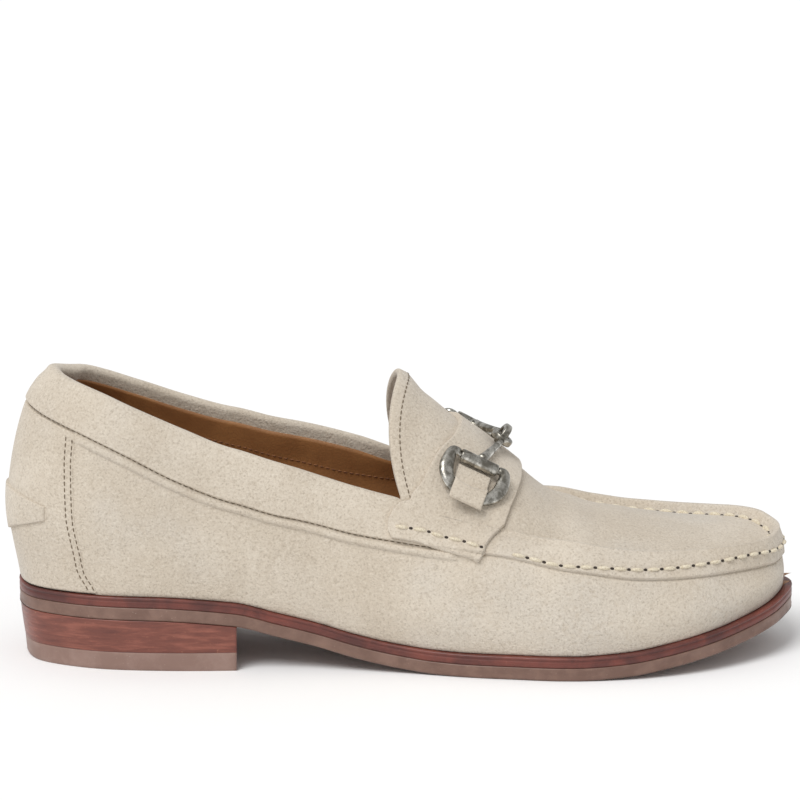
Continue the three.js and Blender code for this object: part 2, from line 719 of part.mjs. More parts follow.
// The upper: one wall, open at the collar and underneath
function upper() {
  const body = new Body();
  const angles = halfAngles;
  const last = angles.length - 1;
  const throat = backAngles.length - 1;

  const wallColumn = (angle, rows, offset) =>
    rows.map((row) => {
      const half = angle <= Math.PI;
      const lane = half ? row.level : 10 - row.level;
      const on = half ? angle : 2 * Math.PI - angle;
      return offset(skinPoint(on, lane), skinNormal(on, lane), row);
    });
  const outward = (p, n, row) => p.addScaledVector(n, row.out);
  const inward = (p, n, row) => {
    const made = p.addScaledVector(n, -row.in);
    made.z -= row.down;
    return made;
  };

  const makeShell = (rowsOf, offset, apronOffset) => {
    const outer = angles.map((a) => body.row(wallColumn(a, rowsOf(a), offset)));
    const inner = angles.map((a, i) =>
      i === 0 || i === last
        ? outer[i]
        : body.row(wallColumn(2 * Math.PI - a, rowsOf(a), offset)),
    );
    const apron = angles.map((a, i) => {
      if (i < throat) return null;
      if (i === last) {
        const tip = body.corner(apronOffset(a - 1e-3, 5));
        return apronLanes.map(() => tip);
      }
      return apronLanes.map((lane) => body.corner(apronOffset(a, lane)));
    });
    return { outer, inner, apron };
  };

  const onApron = (angle, lane) => {
    const point = skinPoint(angle, lane);
    point.z += apronOut(lane, point.x);
    return point;
  };
  const underApron = (angle, lane) => {
    const point = skinPoint(angle, lane);
    const edge = 1 - ease(throatPlace, throatPlace + 0.04, placeOf(point.x));
    const depth = mix(wallThickness, tongueEdgeThickness, edge);
    return point.addScaledVector(skinNormal(angle, lane), -depth);
  };

  const outside = makeShell(outerRows, outward, onApron);
  const inside = makeShell(innerRows, inward, underApron);

  const walls = (shell, turned) => {
    const lay = (a, b) => (turned ? body.strip(b, a) : body.strip(a, b));
    for (let i = 0; i < last; i += 1) {
      lay(shell.outer[i], shell.outer[i + 1]);
      lay(shell.inner[i + 1], shell.inner[i]);
    }
    const rung = (i) => {
      const top = (column) => column[column.length - 1];
      return [top(shell.outer[i]), ...shell.apron[i], top(shell.inner[i])];
    };
    for (let i = throat; i < last; i += 1) lay(rung(i), rung(i + 1));
    return rung;
  };
  const outerRung = walls(outside, false);
  const innerRung = walls(inside, true);

  // Bottom edge, on the welt
  const around = (shell, pick) => [
    ...shell.outer.map(pick),
    ...shell.inner.slice(1, -1).reverse().map(pick),
  ];
  const first = (column) => column[0];
  body.strip(around(outside, first), around(inside, first), true);

  // Rounded edge of the collar and of the tongue
  const top = (column) => column[column.length - 1];
  const opening = (shell, rung) => [
    ...shell.outer.slice(0, throat).map(top),
    ...rung(throat),
    ...shell.inner.slice(1, throat).reverse().map(top),
  ];
  const outerEdge = opening(outside, outerRung);
  const innerEdge = opening(inside, innerRung);
  const at = (i) => new THREE.Vector3().fromArray(body.corners, 3 * i);
  const tongueFrom = throat;
  const tongueTo = throat + apronLanes.length + 1;
  const crown = outerEdge.map((corner, i) => {
    const onTongue = i >= tongueFrom && i <= tongueTo;
    const away = onTongue ? new THREE.Vector3(-1, 0, 0.3) : new THREE.Vector3(0, 0, 1);
    const middle = at(corner).add(at(innerEdge[i])).multiplyScalar(0.5);
    return body.corner(middle.addScaledVector(away.normalize(), rimRound));
  });
  body.strip(crown, outerEdge, true);
  body.strip(innerEdge, crown, true);
  return body.geometry();
}

// A thin sheet between two grids of points
function sheet(underPoints, overPoints) {
  const body = new Body();
  const under = underPoints.map((line) => body.row(line));
  const over = overPoints.map((line) => body.row(line));
  const last = under.length - 1;
  for (let i = 0; i < last; i += 1) {
    body.strip(under[i], under[i + 1]);
    body.strip(over[i + 1], over[i]);
  }
  const rim = (grid) => [
    ...grid[0],
    ...grid.slice(1, last).map((line) => line[line.length - 1]),
    ...grid[last].slice().reverse(),
    ...grid.slice(1, last).reverse().map((line) => line[0]),
  ];
  body.strip(rim(over), rim(under), true);
  return body.geometry();
}

// A sheet of one thickness laid on the surface, over a grid of angles and lanes
function laidOn(places, lift, thickness) {
  const grid = (rise) =>
    places.map((line) =>
      line.map(({ angle, lane }) =>
        surfacePoint(angle, lane).addScaledVector(skinNormal(angle, lane), rise),
      ),
    );
  return sheet(grid(lift), grid(lift + thickness));
}

// Places round the back of the heel, from the outer side to the inner one
function backPlaces(turns, lanesAt, rows) {
  return turns.map((turn) => {
    const angle = Math.abs(turn);
    const [low, high] = lanesAt(turn < 0 ? angle : 2 * Math.PI - angle);
    return spread(low, high, rows).map((height) => ({
      angle,
      lane: turn < 0 ? height : 10 - height,
    }));
  });
}

// The wall level at a height over the floor
function levelAt(angle, z) {
  let [low, high] = [0, 3];
  for (let i = 0; i < 30; i += 1) {
    const half = (low + high) / 2;
    if (wallPoint(angle, half).z < z) low = half;
    else high = half;
  }
  return low;
}

function heelCounter() {
  const lanes = (angle) => [0, nearSeam(angle, -cordWidth - foldWidth - fitGap)];
  const half = heelAngles.filter((angle) => angle <= counterAngle);
  const turns = [...half.slice(1).reverse().map((angle) => -angle), ...half];
  return laidOn(backPlaces(turns, lanes, 7), fitGap, counterThickness);
}

// Crescent on the counter, deepest at the back
function backTab() {
  const end = angleOf((tabReach - backSetIn) / (soleEnd - bulgeSetBack - backSetIn));
  const lanes = (angle) => {
    const share = Math.min(angle, 2 * Math.PI - angle) / end;
    const top = seat(0) + collarHeight * mix(tabTop, tabEndTop, share ** 2);
    const bottom = seat(0) + collarHeight * mix(tabBottom, tabEndBottom, share);
    return [levelAt(angle, bottom), levelAt(angle, top)];
  };
  const lift = fitGap + counterThickness + fitGap;
  return laidOn(backPlaces(spread(-end, end, 12), lanes, 4), lift, tabThickness);
}

const strapBack = columnCurve(strapRows, "back", "across");
const strapFront = columnCurve(strapRows, "front", "across");
const ridgeFrom = 0.3;
const ridgeTo = 0.36;

// Lane at a share of the way over the strap: 0 its outer sewn edge, 1 the crest
function strapLane(across, angle) {
  if (across >= ridgeTo) return 4 + (across - ridgeTo) / (1 - ridgeTo);
  if (across >= ridgeFrom) return 3 + (across - ridgeFrom) / (ridgeTo - ridgeFrom);
  return bandLevel(angle, mix(flapShare, 1, across / ridgeFrom));
}
const acrossOfLane = (lane) =>
  lane < 4 ? mix(ridgeFrom, ridgeTo, lane - 3) : mix(ridgeTo, 1, lane - 4);
const acrossOfBand = (share) => (ridgeFrom * (share - flapShare)) / (1 - flapShare);

// A place on the strap, on one side of the crest
function strapPlace(across, along, side) {
  const place = mix(strapBack(across), strapFront(across), along);
  const angle = angleOf((xOf(place) - topStart) / (topEnd - topStart));
  const lane = strapLane(across, side < 0 ? angle : 2 * Math.PI - angle);
  return { angle, lane: side < 0 ? lane : 10 - lane };
}

function saddleStrap() {
  const onWall = [0, ...bandShares.map(acrossOfBand), ridgeFrom];
  const onTop = apronLanes.filter((lane) => lane < 5).map(acrossOfLane);
  const half = [...onWall, ...onTop];
  const lines = [
    ...half.map((across) => [across, -1]),
    ...half.reverse().map((across) => [across, 1]),
  ];
  const places = lines.map(([across, side]) =>
    spread(0, 1, 6).map((along) => strapPlace(across, along, side)),
  );
  return laidOn(places, strapGap, strapThickness);
}

// The top of the strap as a cloud of spots, each with its way out
const strapSpots = (side) =>
  spread(ridgeFrom - 0.1, 1, 36).flatMap((across) =>
    spread(-0.1, 1.1, 26).map((along) => {
      const { angle, lane } = strapPlace(across, along, side);
      const out = skinNormal(angle, lane);
      const at = surfacePoint(angle, lane).addScaledVector(out, strapGap + strapThickness);
      return { at, out };
    }),
  );

// Height of a point over the strap, and the place under it
function overStrap(point, spots) {
  const near = spots.reduce((best, spot) =>
    spot.at.distanceToSquared(point) < best.at.distanceToSquared(point) ? spot : best,
  );
  const height = point.clone().sub(near.at).dot(near.out);
  return { height, foot: point.clone().addScaledVector(near.out, -height), out: near.out };
}

// The path of a ring from the barrel out: along the barrel, and down from it
function ringPath() {
  const half = barrelLength / 2;
  const horn = [
    [half + fitGap, 0],
    [half + fitGap + pinRadius, -hornRise],
    [ringSpread - hornRise * 1.5, -hornRise / 2],
  ];
  const bow = bowRows.map(({ out, down }) => [out * ringSpread, down * ringDepth]);
  const side = [...horn, ...bow.slice(1).reverse()];
  const pin = [[-half / 3, 0], [half / 3, 0]];
  const other = side.map(([a, b]) => [-a, b]).reverse();
  return [...side, [0, ringDepth], ...other, ...pin];
}

// One half of the bit: its barrel along the foot, its ring leaning on the strap
function bitHalf(side) {
  const spots = strapSpots(side);
  const lifted = (point, lift) => {
    const { foot, out } = overStrap(point, spots);
    return foot.addScaledVector(out, lift);
  };
  const place = (along) => {
    const { angle, lane } = strapPlace(barrelAcross, along, side);
    return surfacePoint(angle, lane);
  };
  const middle = place(barrelAlong);
  const forward = place(barrelAlong + 0.1).sub(middle).normalize();
  const [rear, front] = [-1, 1].map((way) =>
    lifted(
      middle.clone().addScaledVector(forward, (way * barrelLength) / 2),
      barrelGap + barrelRadius,
    ),
  );
  const barrel = rear.clone().add(front).multiplyScalar(0.5);
  const along = front.sub(rear).normalize();
  const steep = new THREE.Vector3(0, 0, -1);
  steep.addScaledVector(along, -steep.dot(along)).normalize();
  const flat = new THREE.Vector3().crossVectors(along, steep).normalize();
  if (Math.sign(flat.y) !== side) flat.negate();
  const path = ringPath().filter(([, b]) => b > 2 * barrelRadius);
  const clear = (lean) => {
    const down = steep.clone().multiplyScalar(Math.cos(lean));
    down.addScaledVector(flat, Math.sin(lean));
    return path.every(([a, b]) => {
      const point = barrel.clone().addScaledVector(along, a).addScaledVector(down, b);
      return overStrap(point, spots).height > fitGap + ringHalfThickness;
    });
  };
  let [under, over] = [0, Math.PI / 2];
  for (let i = 0; i < 14; i += 1) {
    const lean = (under + over) / 2;
    if (clear(lean)) over = lean;
    else under = lean;
  }
  const down = steep.multiplyScalar(Math.cos(over)).addScaledVector(flat, Math.sin(over));
  const out = along.clone().cross(down).normalize();
  if (out.z < 0) out.negate();
  return { side, spots, barrel, along, down, out };
}

const onBit = ({ barrel, along, down }, a, b) =>
  barrel.clone().addScaledVector(along, a).addScaledVector(down, b);

// Ring: a wide flat bow with two horns, closed by a pin through the barrel
function bitRing(half) {
  const path = ringPath().map(([a, b]) => onBit(half, a, b));
  const curve = new THREE.CatmullRomCurve3(path, true, "centripetal");
  const points = curve.getPoints(2 * path.length).slice(0, -1);
  const body = new Body();
  const rings = points.map((point, i) => {
    const ahead = points[(i + 1) % points.length];
    const behind = points[(i + points.length - 1) % points.length];
    const wide = half.out.clone().cross(ahead.clone().sub(behind)).normalize();
    const offset = point.clone().sub(half.barrel);
    const past = Math.abs(offset.dot(half.along)) - barrelLength / 2;
    const beside = past - fitGap;
    const full = ease(0, pinRadius, Math.max(beside, offset.dot(half.down) - barrelRadius));
    const halfWidth = mix(pinRadius, ringHalfWidth, full);
    const halfThickness = mix(pinRadius, ringHalfThickness, full);
    const corners = spread(0, 2 * Math.PI, 8).slice(0, -1).map((a) =>
      point.clone()
        .addScaledVector(wide, halfWidth * Math.cos(a))
        .addScaledVector(half.out, halfThickness * Math.sin(a)),
    );
    return body.row(corners);
  });
  rings.forEach((ring, i) => body.strip(ring, rings[(i + 1) % rings.length], true));
  return body.geometry();
}

// Tab that comes from under the barrel and holds the bow of the ring down
function keeper(half) {
  const bow = columnCurve(bowRows, "down", "out");
  const rise = (a, b) => {
    const inner = ringDepth * bow(Math.abs(a) / ringSpread) - ringHalfWidth;
    return ease(inner - 3, inner - 0.6, b);
  };
  const end = ringDepth + ringHalfWidth + keeperEnd;
  const along = spread(-keeperWidth / 2, keeperWidth / 2, 4);
  const grid = (more) =>
    [0.5, 0.9, 1.4, 1.8, 2.2, 2.6, 3, 4].map((step) => {
      const b = (end * step) / 4;
      return along.map((a) => {
        const { height, foot, out } = overStrap(onBit(half, a, b), half.spots);
        const over = Math.max(0, height + ringHalfThickness) * rise(a, b);
        return foot.addScaledVector(out, fitGap + over + more);
      });
    });
  return sheet(grid(0), grid(keeperThickness));
}

// Solid of a closed geometry, and a geometry of a solid, for joining metal pieces
function toSolid(geometry) {
  geometry.deleteAttribute("normal");
  geometry.deleteAttribute("uv");
  const merged = mergeVertices(geometry, 1e-4);
  return new wasm.Manifold(
    new wasm.Mesh({
      numProp: 3,
      vertProperties: merged.attributes.position.array,
      triVerts: new Uint32Array(merged.index.array),
    }),
  );
}
function toGeometry(solid) {
  const mesh = solid.getMesh();
  const made = new THREE.BufferGeometry();
  made.setAttribute("position", new THREE.BufferAttribute(mesh.vertProperties, 3));
  made.setIndex(new THREE.BufferAttribute(mesh.triVerts, 1));
  made.computeVertexNormals();
  return made;
}

// A matrix that stands a shape, made along Y, on a point and a direction
function standing(point, up, front) {
  const y = up.clone().normalize();
  const x = y.clone().cross(front).normalize();
  const z = x.clone().cross(y);
  return new THREE.Matrix4().makeBasis(x, y, z).setPosition(point);
}

// The eyes hook into each other above the crest: the outer one lies flat, the inner one stands
function bitEyes(outer, inner) {
  const { angle, lane } = strapPlace(1, eyeAlong, -1);
  const play = eyeRadius - 2 * eyeRodRadius - fitGap;
  const lift = strapGap + strapThickness + fitGap + eyeRadius + eyeRodRadius - play;
  const out = skinNormal(angle, lane);
  const middle = surfacePoint(angle, lane).addScaledVector(out, lift);
  const across = inner.barrel.clone().sub(outer.barrel).normalize();
  out.addScaledVector(across, -out.dot(across)).normalize();
  const at = (side, more) =>
    middle.clone()
      .addScaledVector(across, (side * eyeRadius) / 2)
      .addScaledVector(out, more);
  return [
    { centre: at(-1, 0), across, axis: out, out },
    { centre: at(1, play), across, axis: across.clone().cross(out), out },
  ];
}

// Barrel, bar and eye of one half, joined
function bitBar({ side, barrel, along }, eye) {
  const half = barrelLength / 2;
  const bore = pinRadius + fitGap;
  const round = barrelRadius / 4;
  const profile = [
    [bore, -half],
    [barrelRadius - round, -half],
    [barrelRadius, round - half],
    [barrelRadius, half - round],
    [barrelRadius - round, half],
    [bore, half],
    [bore, -half],
  ].map(([r, y]) => new THREE.Vector2(r, y));
  const tube = new THREE.LatheGeometry(profile, 16);
  tube.applyMatrix4(standing(barrel, along, eye.out));
  const end = eye.centre.clone().addScaledVector(eye.across, side * eyeRadius);
  const reach = end.sub(barrel);
  const inward = reach.clone().normalize();
  const inside = (bore + barrelRadius) / 2;
  const length = reach.length() - inside;
  const bar = new THREE.CylinderGeometry(eyeRodRadius * 1.2, barRadius, length, 10);
  const centre = barrel.clone().addScaledVector(inward, inside + length / 2);
  bar.applyMatrix4(standing(centre, inward, eye.out));
  const loop = new THREE.TorusGeometry(eyeRadius, eyeRodRadius, 8, 16);
  const sideways = eye.axis.clone().cross(eye.across);
  const turn = new THREE.Matrix4().makeBasis(eye.across, sideways, eye.axis);
  loop.applyMatrix4(turn.setPosition(eye.centre));
  return toGeometry(toSolid(tube).add(toSolid(bar)).add(toSolid(loop)));
}

const outerBit = bitHalf(-1);
const innerBit = bitHalf(1);
const [outerEye, innerEye] = bitEyes(outerBit, innerBit);

// Colours and finish
const finish = (color, roughness, metalness = 0) =>
  new THREE.MeshStandardMaterial({ color, roughness, metalness });
const suede = () => finish(0xcdbfa8, 0.95);
const sole = () => finish(0x8a6a5c, 0.6);
const redLeather = () => finish(0x8c4632, 0.45);
const lining = () => finish(0xb5895c, 0.6);
const metal = () => finish(0x9c9588, 0.35, 1);

const shoe = new THREE.Group();

function add(name, geometry, material) {
  const mesh = new THREE.Mesh(geometry, material);
  mesh.name = name;
  shoe.add(mesh);
}

add("outsole", outsole(), sole());
add("welt", welt(), redLeather());
add("heel_block", heelBlock(), redLeather());
add("top_lift", topLift(), sole());
add("insole", insole(), lining());
add("upper", upper(), suede());
add("heel_counter", heelCounter(), suede());
add("back_tab", backTab(), suede());
add("saddle_strap", saddleStrap(), suede());
add("keeper_lateral", keeper(outerBit), suede());
add("keeper_medial", keeper(innerBit), suede());
add("ring_lateral", bitRing(outerBit), metal());
add("ring_medial", bitRing(innerBit), metal());
add("bar_lateral", bitBar(outerBit, outerEye), metal());
add("bar_medial", bitBar(innerBit, innerEye), metal());

// The frame's origin is under the middle of the shoe
const box = new THREE.Box3().setFromObject(shoe);
const middle = box.getCenter(new THREE.Vector3());
shoe.position.set(-middle.x, -middle.y, -box.min.z);

export default shoe;
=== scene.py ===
# Suede slip-on loafer with a metal bit, right shoe: the dressed model
# Surfaces are worked out in millimetres from the back of the shoe, then set down in metres

import math

import bpy
import numpy as np
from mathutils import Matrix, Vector


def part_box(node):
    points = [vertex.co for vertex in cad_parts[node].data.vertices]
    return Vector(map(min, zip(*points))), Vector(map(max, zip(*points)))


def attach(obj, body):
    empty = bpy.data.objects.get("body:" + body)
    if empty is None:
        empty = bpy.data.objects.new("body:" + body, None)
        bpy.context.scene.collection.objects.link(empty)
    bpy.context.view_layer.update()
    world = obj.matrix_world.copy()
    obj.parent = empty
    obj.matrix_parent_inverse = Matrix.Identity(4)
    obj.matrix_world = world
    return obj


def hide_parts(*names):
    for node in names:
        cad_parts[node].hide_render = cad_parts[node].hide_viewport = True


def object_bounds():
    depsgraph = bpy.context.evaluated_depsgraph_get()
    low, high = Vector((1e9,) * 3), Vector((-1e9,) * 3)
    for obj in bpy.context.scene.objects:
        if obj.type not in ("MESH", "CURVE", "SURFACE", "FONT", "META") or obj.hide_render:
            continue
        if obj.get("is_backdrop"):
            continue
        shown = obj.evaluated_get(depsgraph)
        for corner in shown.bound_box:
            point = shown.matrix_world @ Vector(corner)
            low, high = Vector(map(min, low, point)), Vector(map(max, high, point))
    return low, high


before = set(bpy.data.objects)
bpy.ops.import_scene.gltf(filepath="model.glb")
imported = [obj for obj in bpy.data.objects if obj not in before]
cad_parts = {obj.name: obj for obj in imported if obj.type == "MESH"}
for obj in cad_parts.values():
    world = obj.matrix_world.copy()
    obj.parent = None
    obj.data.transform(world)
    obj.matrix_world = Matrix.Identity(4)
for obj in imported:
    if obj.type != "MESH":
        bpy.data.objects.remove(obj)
cadLow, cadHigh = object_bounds()
bpy.ops.object.select_all(action="DESELECT")
turnRound = 2 * math.pi


# Small sums

def clamp(value):
    return np.clip(value, 0, 1)


def mix(a, b, share):
    return a + (b - a) * share


def ease(start, end, value):
    share = clamp((value - start) / (end - start))
    return share * share * (3 - 2 * share)


def unit(vectors):
    return vectors / np.maximum(np.linalg.norm(vectors, axis=-1, keepdims=True), 1e-12)


def point(x, y, z):
    return np.stack(np.broadcast_arrays(x, y, z), -1).astype(float)


def hermite(a, b, slopeA, slopeB, step, share):
    square = share * share
    cube = square * share
    ends = a * (2 * cube - 3 * square + 1) + b * (3 * square - 2 * cube)
    return ends + step * (slopeA * (cube - 2 * square + share) + slopeB * (cube - square))


def rows(names, *lines):
    return {name: np.array(column, float) for name, column in zip(names.split(), zip(*lines))}


def columnCurve(table, name, key="along"):
    x, y = table[key], table[name]
    secant = np.diff(y) / np.diff(x)
    slope = np.zeros(len(x))
    before, after = secant[:-1], secant[1:]
    rising = before * after > 0
    slope[1:-1][rising] = (2 * before * after)[rising] / (before + after)[rising]

    def at(value):
        inside = np.clip(value, x[0], x[-1])
        i = np.clip(np.searchsorted(x, inside) - 1, 0, len(x) - 2)
        step = x[i + 1] - x[i]
        return hermite(y[i], y[i + 1], slope[i], slope[i + 1], step, (inside - x[i]) / step)

    return at


def angleOf(along):
    return np.arccos(1 - 2 * clamp(along))


def alongOf(angle):
    return (1 - np.cos(angle)) / 2


def ringCurve(table, outerName, innerName, outerSign):
    angle = angleOf(table["along"])
    x = np.concatenate([angle, turnRound - angle[-2:0:-1]])
    y = np.concatenate([outerSign * table[outerName], table[innerName][-2:0:-1]])
    x = np.concatenate([[x[-1] - turnRound], x, x[:2] + turnRound])
    y = np.concatenate([[y[-1]], y, y[:2]])
    secant = np.diff(y) / np.diff(x)
    weight = np.diff(x)[:-1] / (x[2:] - x[:-2])
    slope = np.concatenate([[0], mix(secant[:-1], secant[1:], weight), [0]])

    def at(turn):
        inside = np.mod(turn, turnRound)
        i = np.clip(np.searchsorted(x, inside) - 1, 1, len(x) - 3)
        step = x[i + 1] - x[i]
        return hermite(y[i], y[i + 1], slope[i], slope[i + 1], step, (inside - x[i]) / step)

    return at


# The shoe's own sizes, in millimetres: the same ones as the frame's

shoe = {
    "soleLength": 289,
    "ballWidth": 100,
    "heelWidth": 68,
    "heelHeight": 19.7,
    "toeSpring": 14,
    "outsoleThickness": 4.9,
    "weltThickness": 3.6,
    "topLiftThickness": 7,
    "heelLength": 81,
    "heelTaper": 2.4,
    "breastHollow": 1.6,
    "edgeRound": 0.9,
    "backOverhang": 4.8,
    "collarHeight": 79,
    "boxHeight": 36,
    "tongueHeight": 94.5,
    "collarSetIn": 16.6,
    "seamSetIn": 8.7,
    "apronSetBack": 5,
    "lipSetBack": 3.8,
    "bulgeSetBack": 3.2,
    "backSetIn": 1.2,
    "throatPlace": 0.4935,
    "tongueHollow": 4,
    "ridgeInset": 3.8,
    "ridgeHeight": 3.4,
    "fitGap": 0.3,
}

soleRows = rows(
    "along outer inner",
    (0, 0, 0), (0.017, 0.25, 0.25), (0.052, 0.368, 0.368), (0.103, 0.456, 0.456),
    (0.19, 0.5, 0.5), (0.293, 0.493, 0.471), (0.397, 0.46, 0.387), (0.5, 0.434, 0.345),
    (0.603, 0.461, 0.401), (0.69, 0.5, 0.475), (0.759, 0.495, 0.505), (0.828, 0.455, 0.495),
    (0.886, 0.385, 0.44), (0.934, 0.29, 0.36), (0.969, 0.19, 0.25), (0.99, 0.08, 0.15),
    (1, -0.046, 0.046),
)
undersideRows = rows(
    "along heel spring",
    (0, 1, 0), (0.17, 0.98, 0), (0.276, 0.86, 0), (0.331, 0.65, 0), (0.383, 0.46, 0),
    (0.431, 0.26, 0), (0.48, 0.11, 0), (0.531, 0.02, 0), (0.572, 0, 0), (0.707, 0, 0),
    (0.776, 0, 0.08), (0.828, 0, 0.23), (0.886, 0, 0.44), (0.934, 0, 0.66), (0.969, 0, 0.84),
    (1, 0, 1),
)
marginRows = rows("along margin", (0, 0.6), (0.15, 1.4), (0.6, 2), (0.85, 2.6), (1, 3.4))
bulgeRows = rows(
    "along outer inner rise",
    (0, 0, 0, 0.39), (0.0206, 0.243, 0.243, 0.385), (0.048, 0.346, 0.346, 0.38),
    (0.0857, 0.419, 0.419, 0.33), (0.137, 0.47, 0.47, 0.27), (0.2056, 0.493, 0.493, 0.22),
    (0.291, 0.493, 0.478, 0.2), (0.36, 0.483, 0.443, 0.18), (0.428, 0.456, 0.39, 0.18),
    (0.507, 0.444, 0.371, 0.22), (0.5826, 0.45, 0.394, 0.25), (0.651, 0.472, 0.44, 0.29),
    (0.709, 0.487, 0.473, 0.31), (0.771, 0.482, 0.493, 0.3), (0.84, 0.438, 0.48, 0.27),
    (0.891, 0.372, 0.428, 0.25), (0.932, 0.3, 0.365, 0.22), (0.963, 0.22, 0.29, 0.2),
    (0.9836, 0.14, 0.215, 0.18), (0.994, 0.065, 0.145, 0.17), (1, -0.045, 0.045, 0.17),
)
seamRows = rows(
    "along outer inner outerRise innerRise",
    (0, 0, 0, 0.85, 0.85), (0.022, 0.22, 0.22, 0.815, 0.82), (0.043, 0.3, 0.3, 0.79, 0.8),
    (0.078, 0.375, 0.375, 0.743, 0.76), (0.131, 0.434, 0.434, 0.66, 0.68),
    (0.198, 0.46, 0.46, 0.547, 0.572), (0.272, 0.47, 0.465, 0.472, 0.505),
    (0.343, 0.468, 0.457, 0.468, 0.51), (0.4136, 0.44, 0.407, 0.5, 0.55),
    (0.4947, 0.416, 0.377, 0.611, 0.67), (0.572, 0.41, 0.389, 0.76, 0.83),
    (0.643, 0.425, 0.42, 0.88, 0.945), (0.7135, 0.443, 0.445, 0.85, 0.905),
    (0.784, 0.427, 0.453, 0.728, 0.78), (0.837, 0.392, 0.435, 0.64, 0.685),
    (0.89, 0.333, 0.387, 0.56, 0.59), (0.932, 0.255, 0.32, 0.48, 0.5),
    (0.964, 0.17, 0.245, 0.4, 0.415), (0.985, 0.09, 0.17, 0.34, 0.35),
    (0.996, 0.01, 0.095, 0.315, 0.32), (1, -0.044, 0.044, 0.305, 0.305),
)
topRows = rows(
    "along outer inner outerRise innerRise",
    (0, 0, 0, 1, 1), (0.02, 0.176, 0.176, 0.972, 0.972), (0.045, 0.28, 0.28, 0.947, 0.947),
    (0.071, 0.338, 0.338, 0.917, 0.913), (0.1185, 0.394, 0.394, 0.85, 0.85),
    (0.181, 0.419, 0.419, 0.766, 0.78), (0.243, 0.431, 0.431, 0.7, 0.737),
    (0.307, 0.438, 0.433, 0.684, 0.734), (0.37, 0.4235, 0.41, 0.685, 0.756),
    (0.433, 0.39, 0.375, 0.745, 0.824), (0.473, 0.368, 0.357, 0.806, 0.872),
    (0.532, 0.35, 0.35, 0.896, 0.968), (0.587, 0.343, 0.354, 0.994, 1.07),
    (0.6415, 0.355, 0.375, 1.09, 1.14), (0.6964, 0.37, 0.4, 1.13, 1.17),
    (0.751, 0.374, 0.412, 1.045, 1.07), (0.806, 0.357, 0.4, 0.95, 0.975),
    (0.861, 0.32, 0.365, 0.865, 0.895), (0.916, 0.255, 0.305, 0.77, 0.83),
    (0.9525, 0.185, 0.24, 0.695, 0.79), (0.978, 0.115, 0.175, 0.645, 0.74),
    (0.9927, 0.045, 0.115, 0.625, 0.675), (1, -0.04, 0.04, 0.63, 0.63),
)
crestRows = rows(
    "along rise fullness",
    (0.493, 1, 2.4), (0.524, 0.93, 2.4), (0.566, 0.904, 2.4), (0.603, 0.932, 2.4),
    (0.641, 0.99, 2.3), (0.679, 1.045, 2.2), (0.724, 1.17, 2.1), (0.769, 1.12, 2),
    (0.81, 1.02, 2), (0.852, 0.911, 2), (0.897, 0.792, 2), (0.931, 0.7, 2), (1, 0.5, 2),
)


# Lines round the sole

def placeOf(x):
    return (x - shoe["backOverhang"]) / shoe["soleLength"]


def xOf(place):
    return shoe["backOverhang"] + shoe["soleLength"] * place


def localWidth(x):
    return mix(shoe["heelWidth"], shoe["ballWidth"], ease(0.3, 0.62, placeOf(x)))


def localHeight(x):
    return mix(shoe["collarHeight"], shoe["boxHeight"], ease(0.35, 0.7, placeOf(x)))


def crestHeight(x):
    return mix(shoe["tongueHeight"], shoe["boxHeight"], ease(0.5, 0.75, placeOf(x)))


undersideHeel = columnCurve(undersideRows, "heel")
undersideSpring = columnCurve(undersideRows, "spring")


def underside(x):
    heel = shoe["heelHeight"] * undersideHeel(placeOf(x))
    return heel + shoe["toeSpring"] * undersideSpring(placeOf(x))


def weltTop(x):
    return underside(x) + shoe["outsoleThickness"] + shoe["fitGap"] + shoe["weltThickness"]


def seat(x):
    return weltTop(x) + shoe["fitGap"]


soleWidth = ringCurve(soleRows, "outer", "inner", -1)


def soleEdge(turn, inset=0.0):
    def at(angle):
        x = xOf(alongOf(angle))
        return np.stack([x, localWidth(x) * soleWidth(angle)], -1)

    run = unit(at(turn + 1e-3) - at(turn - 1e-3))
    away = np.stack([-run[..., 1], run[..., 0]], -1)
    return at(turn) + away * np.asarray(inset)[..., None]


# Four lines round the upper: the welt, the fullest line, the seam and the top

marginCurve = columnCurve(marginRows, "margin")


def featherPoint(turn):
    edge = soleEdge(turn, marginCurve(alongOf(turn)))
    return point(edge[..., 0], edge[..., 1], seat(edge[..., 0]))


def tableRing(table, start, end, outerRise, innerRise):
    width = ringCurve(table, "outer", "inner", -1)
    rise = ringCurve(table, outerRise, innerRise, 1)

    def at(turn):
        x = mix(start, end, alongOf(turn))
        return point(x, localWidth(x) * width(turn), seat(x) + localHeight(x) * rise(turn))

    return at


soleEnd = xOf(1)
topStart = shoe["collarSetIn"]
topEnd = soleEnd - shoe["apronSetBack"]
bulgePoint = tableRing(bulgeRows, shoe["backSetIn"], soleEnd - shoe["bulgeSetBack"], "rise", "rise")
seamPoint = tableRing(seamRows, shoe["seamSetIn"], soleEnd - shoe["lipSetBack"], "outerRise", "innerRise")
topPoint = tableRing(topRows, topStart, topEnd, "outerRise", "innerRise")
throatAngle = float(angleOf((xOf(shoe["throatPlace"]) - topStart) / (topEnd - topStart)))


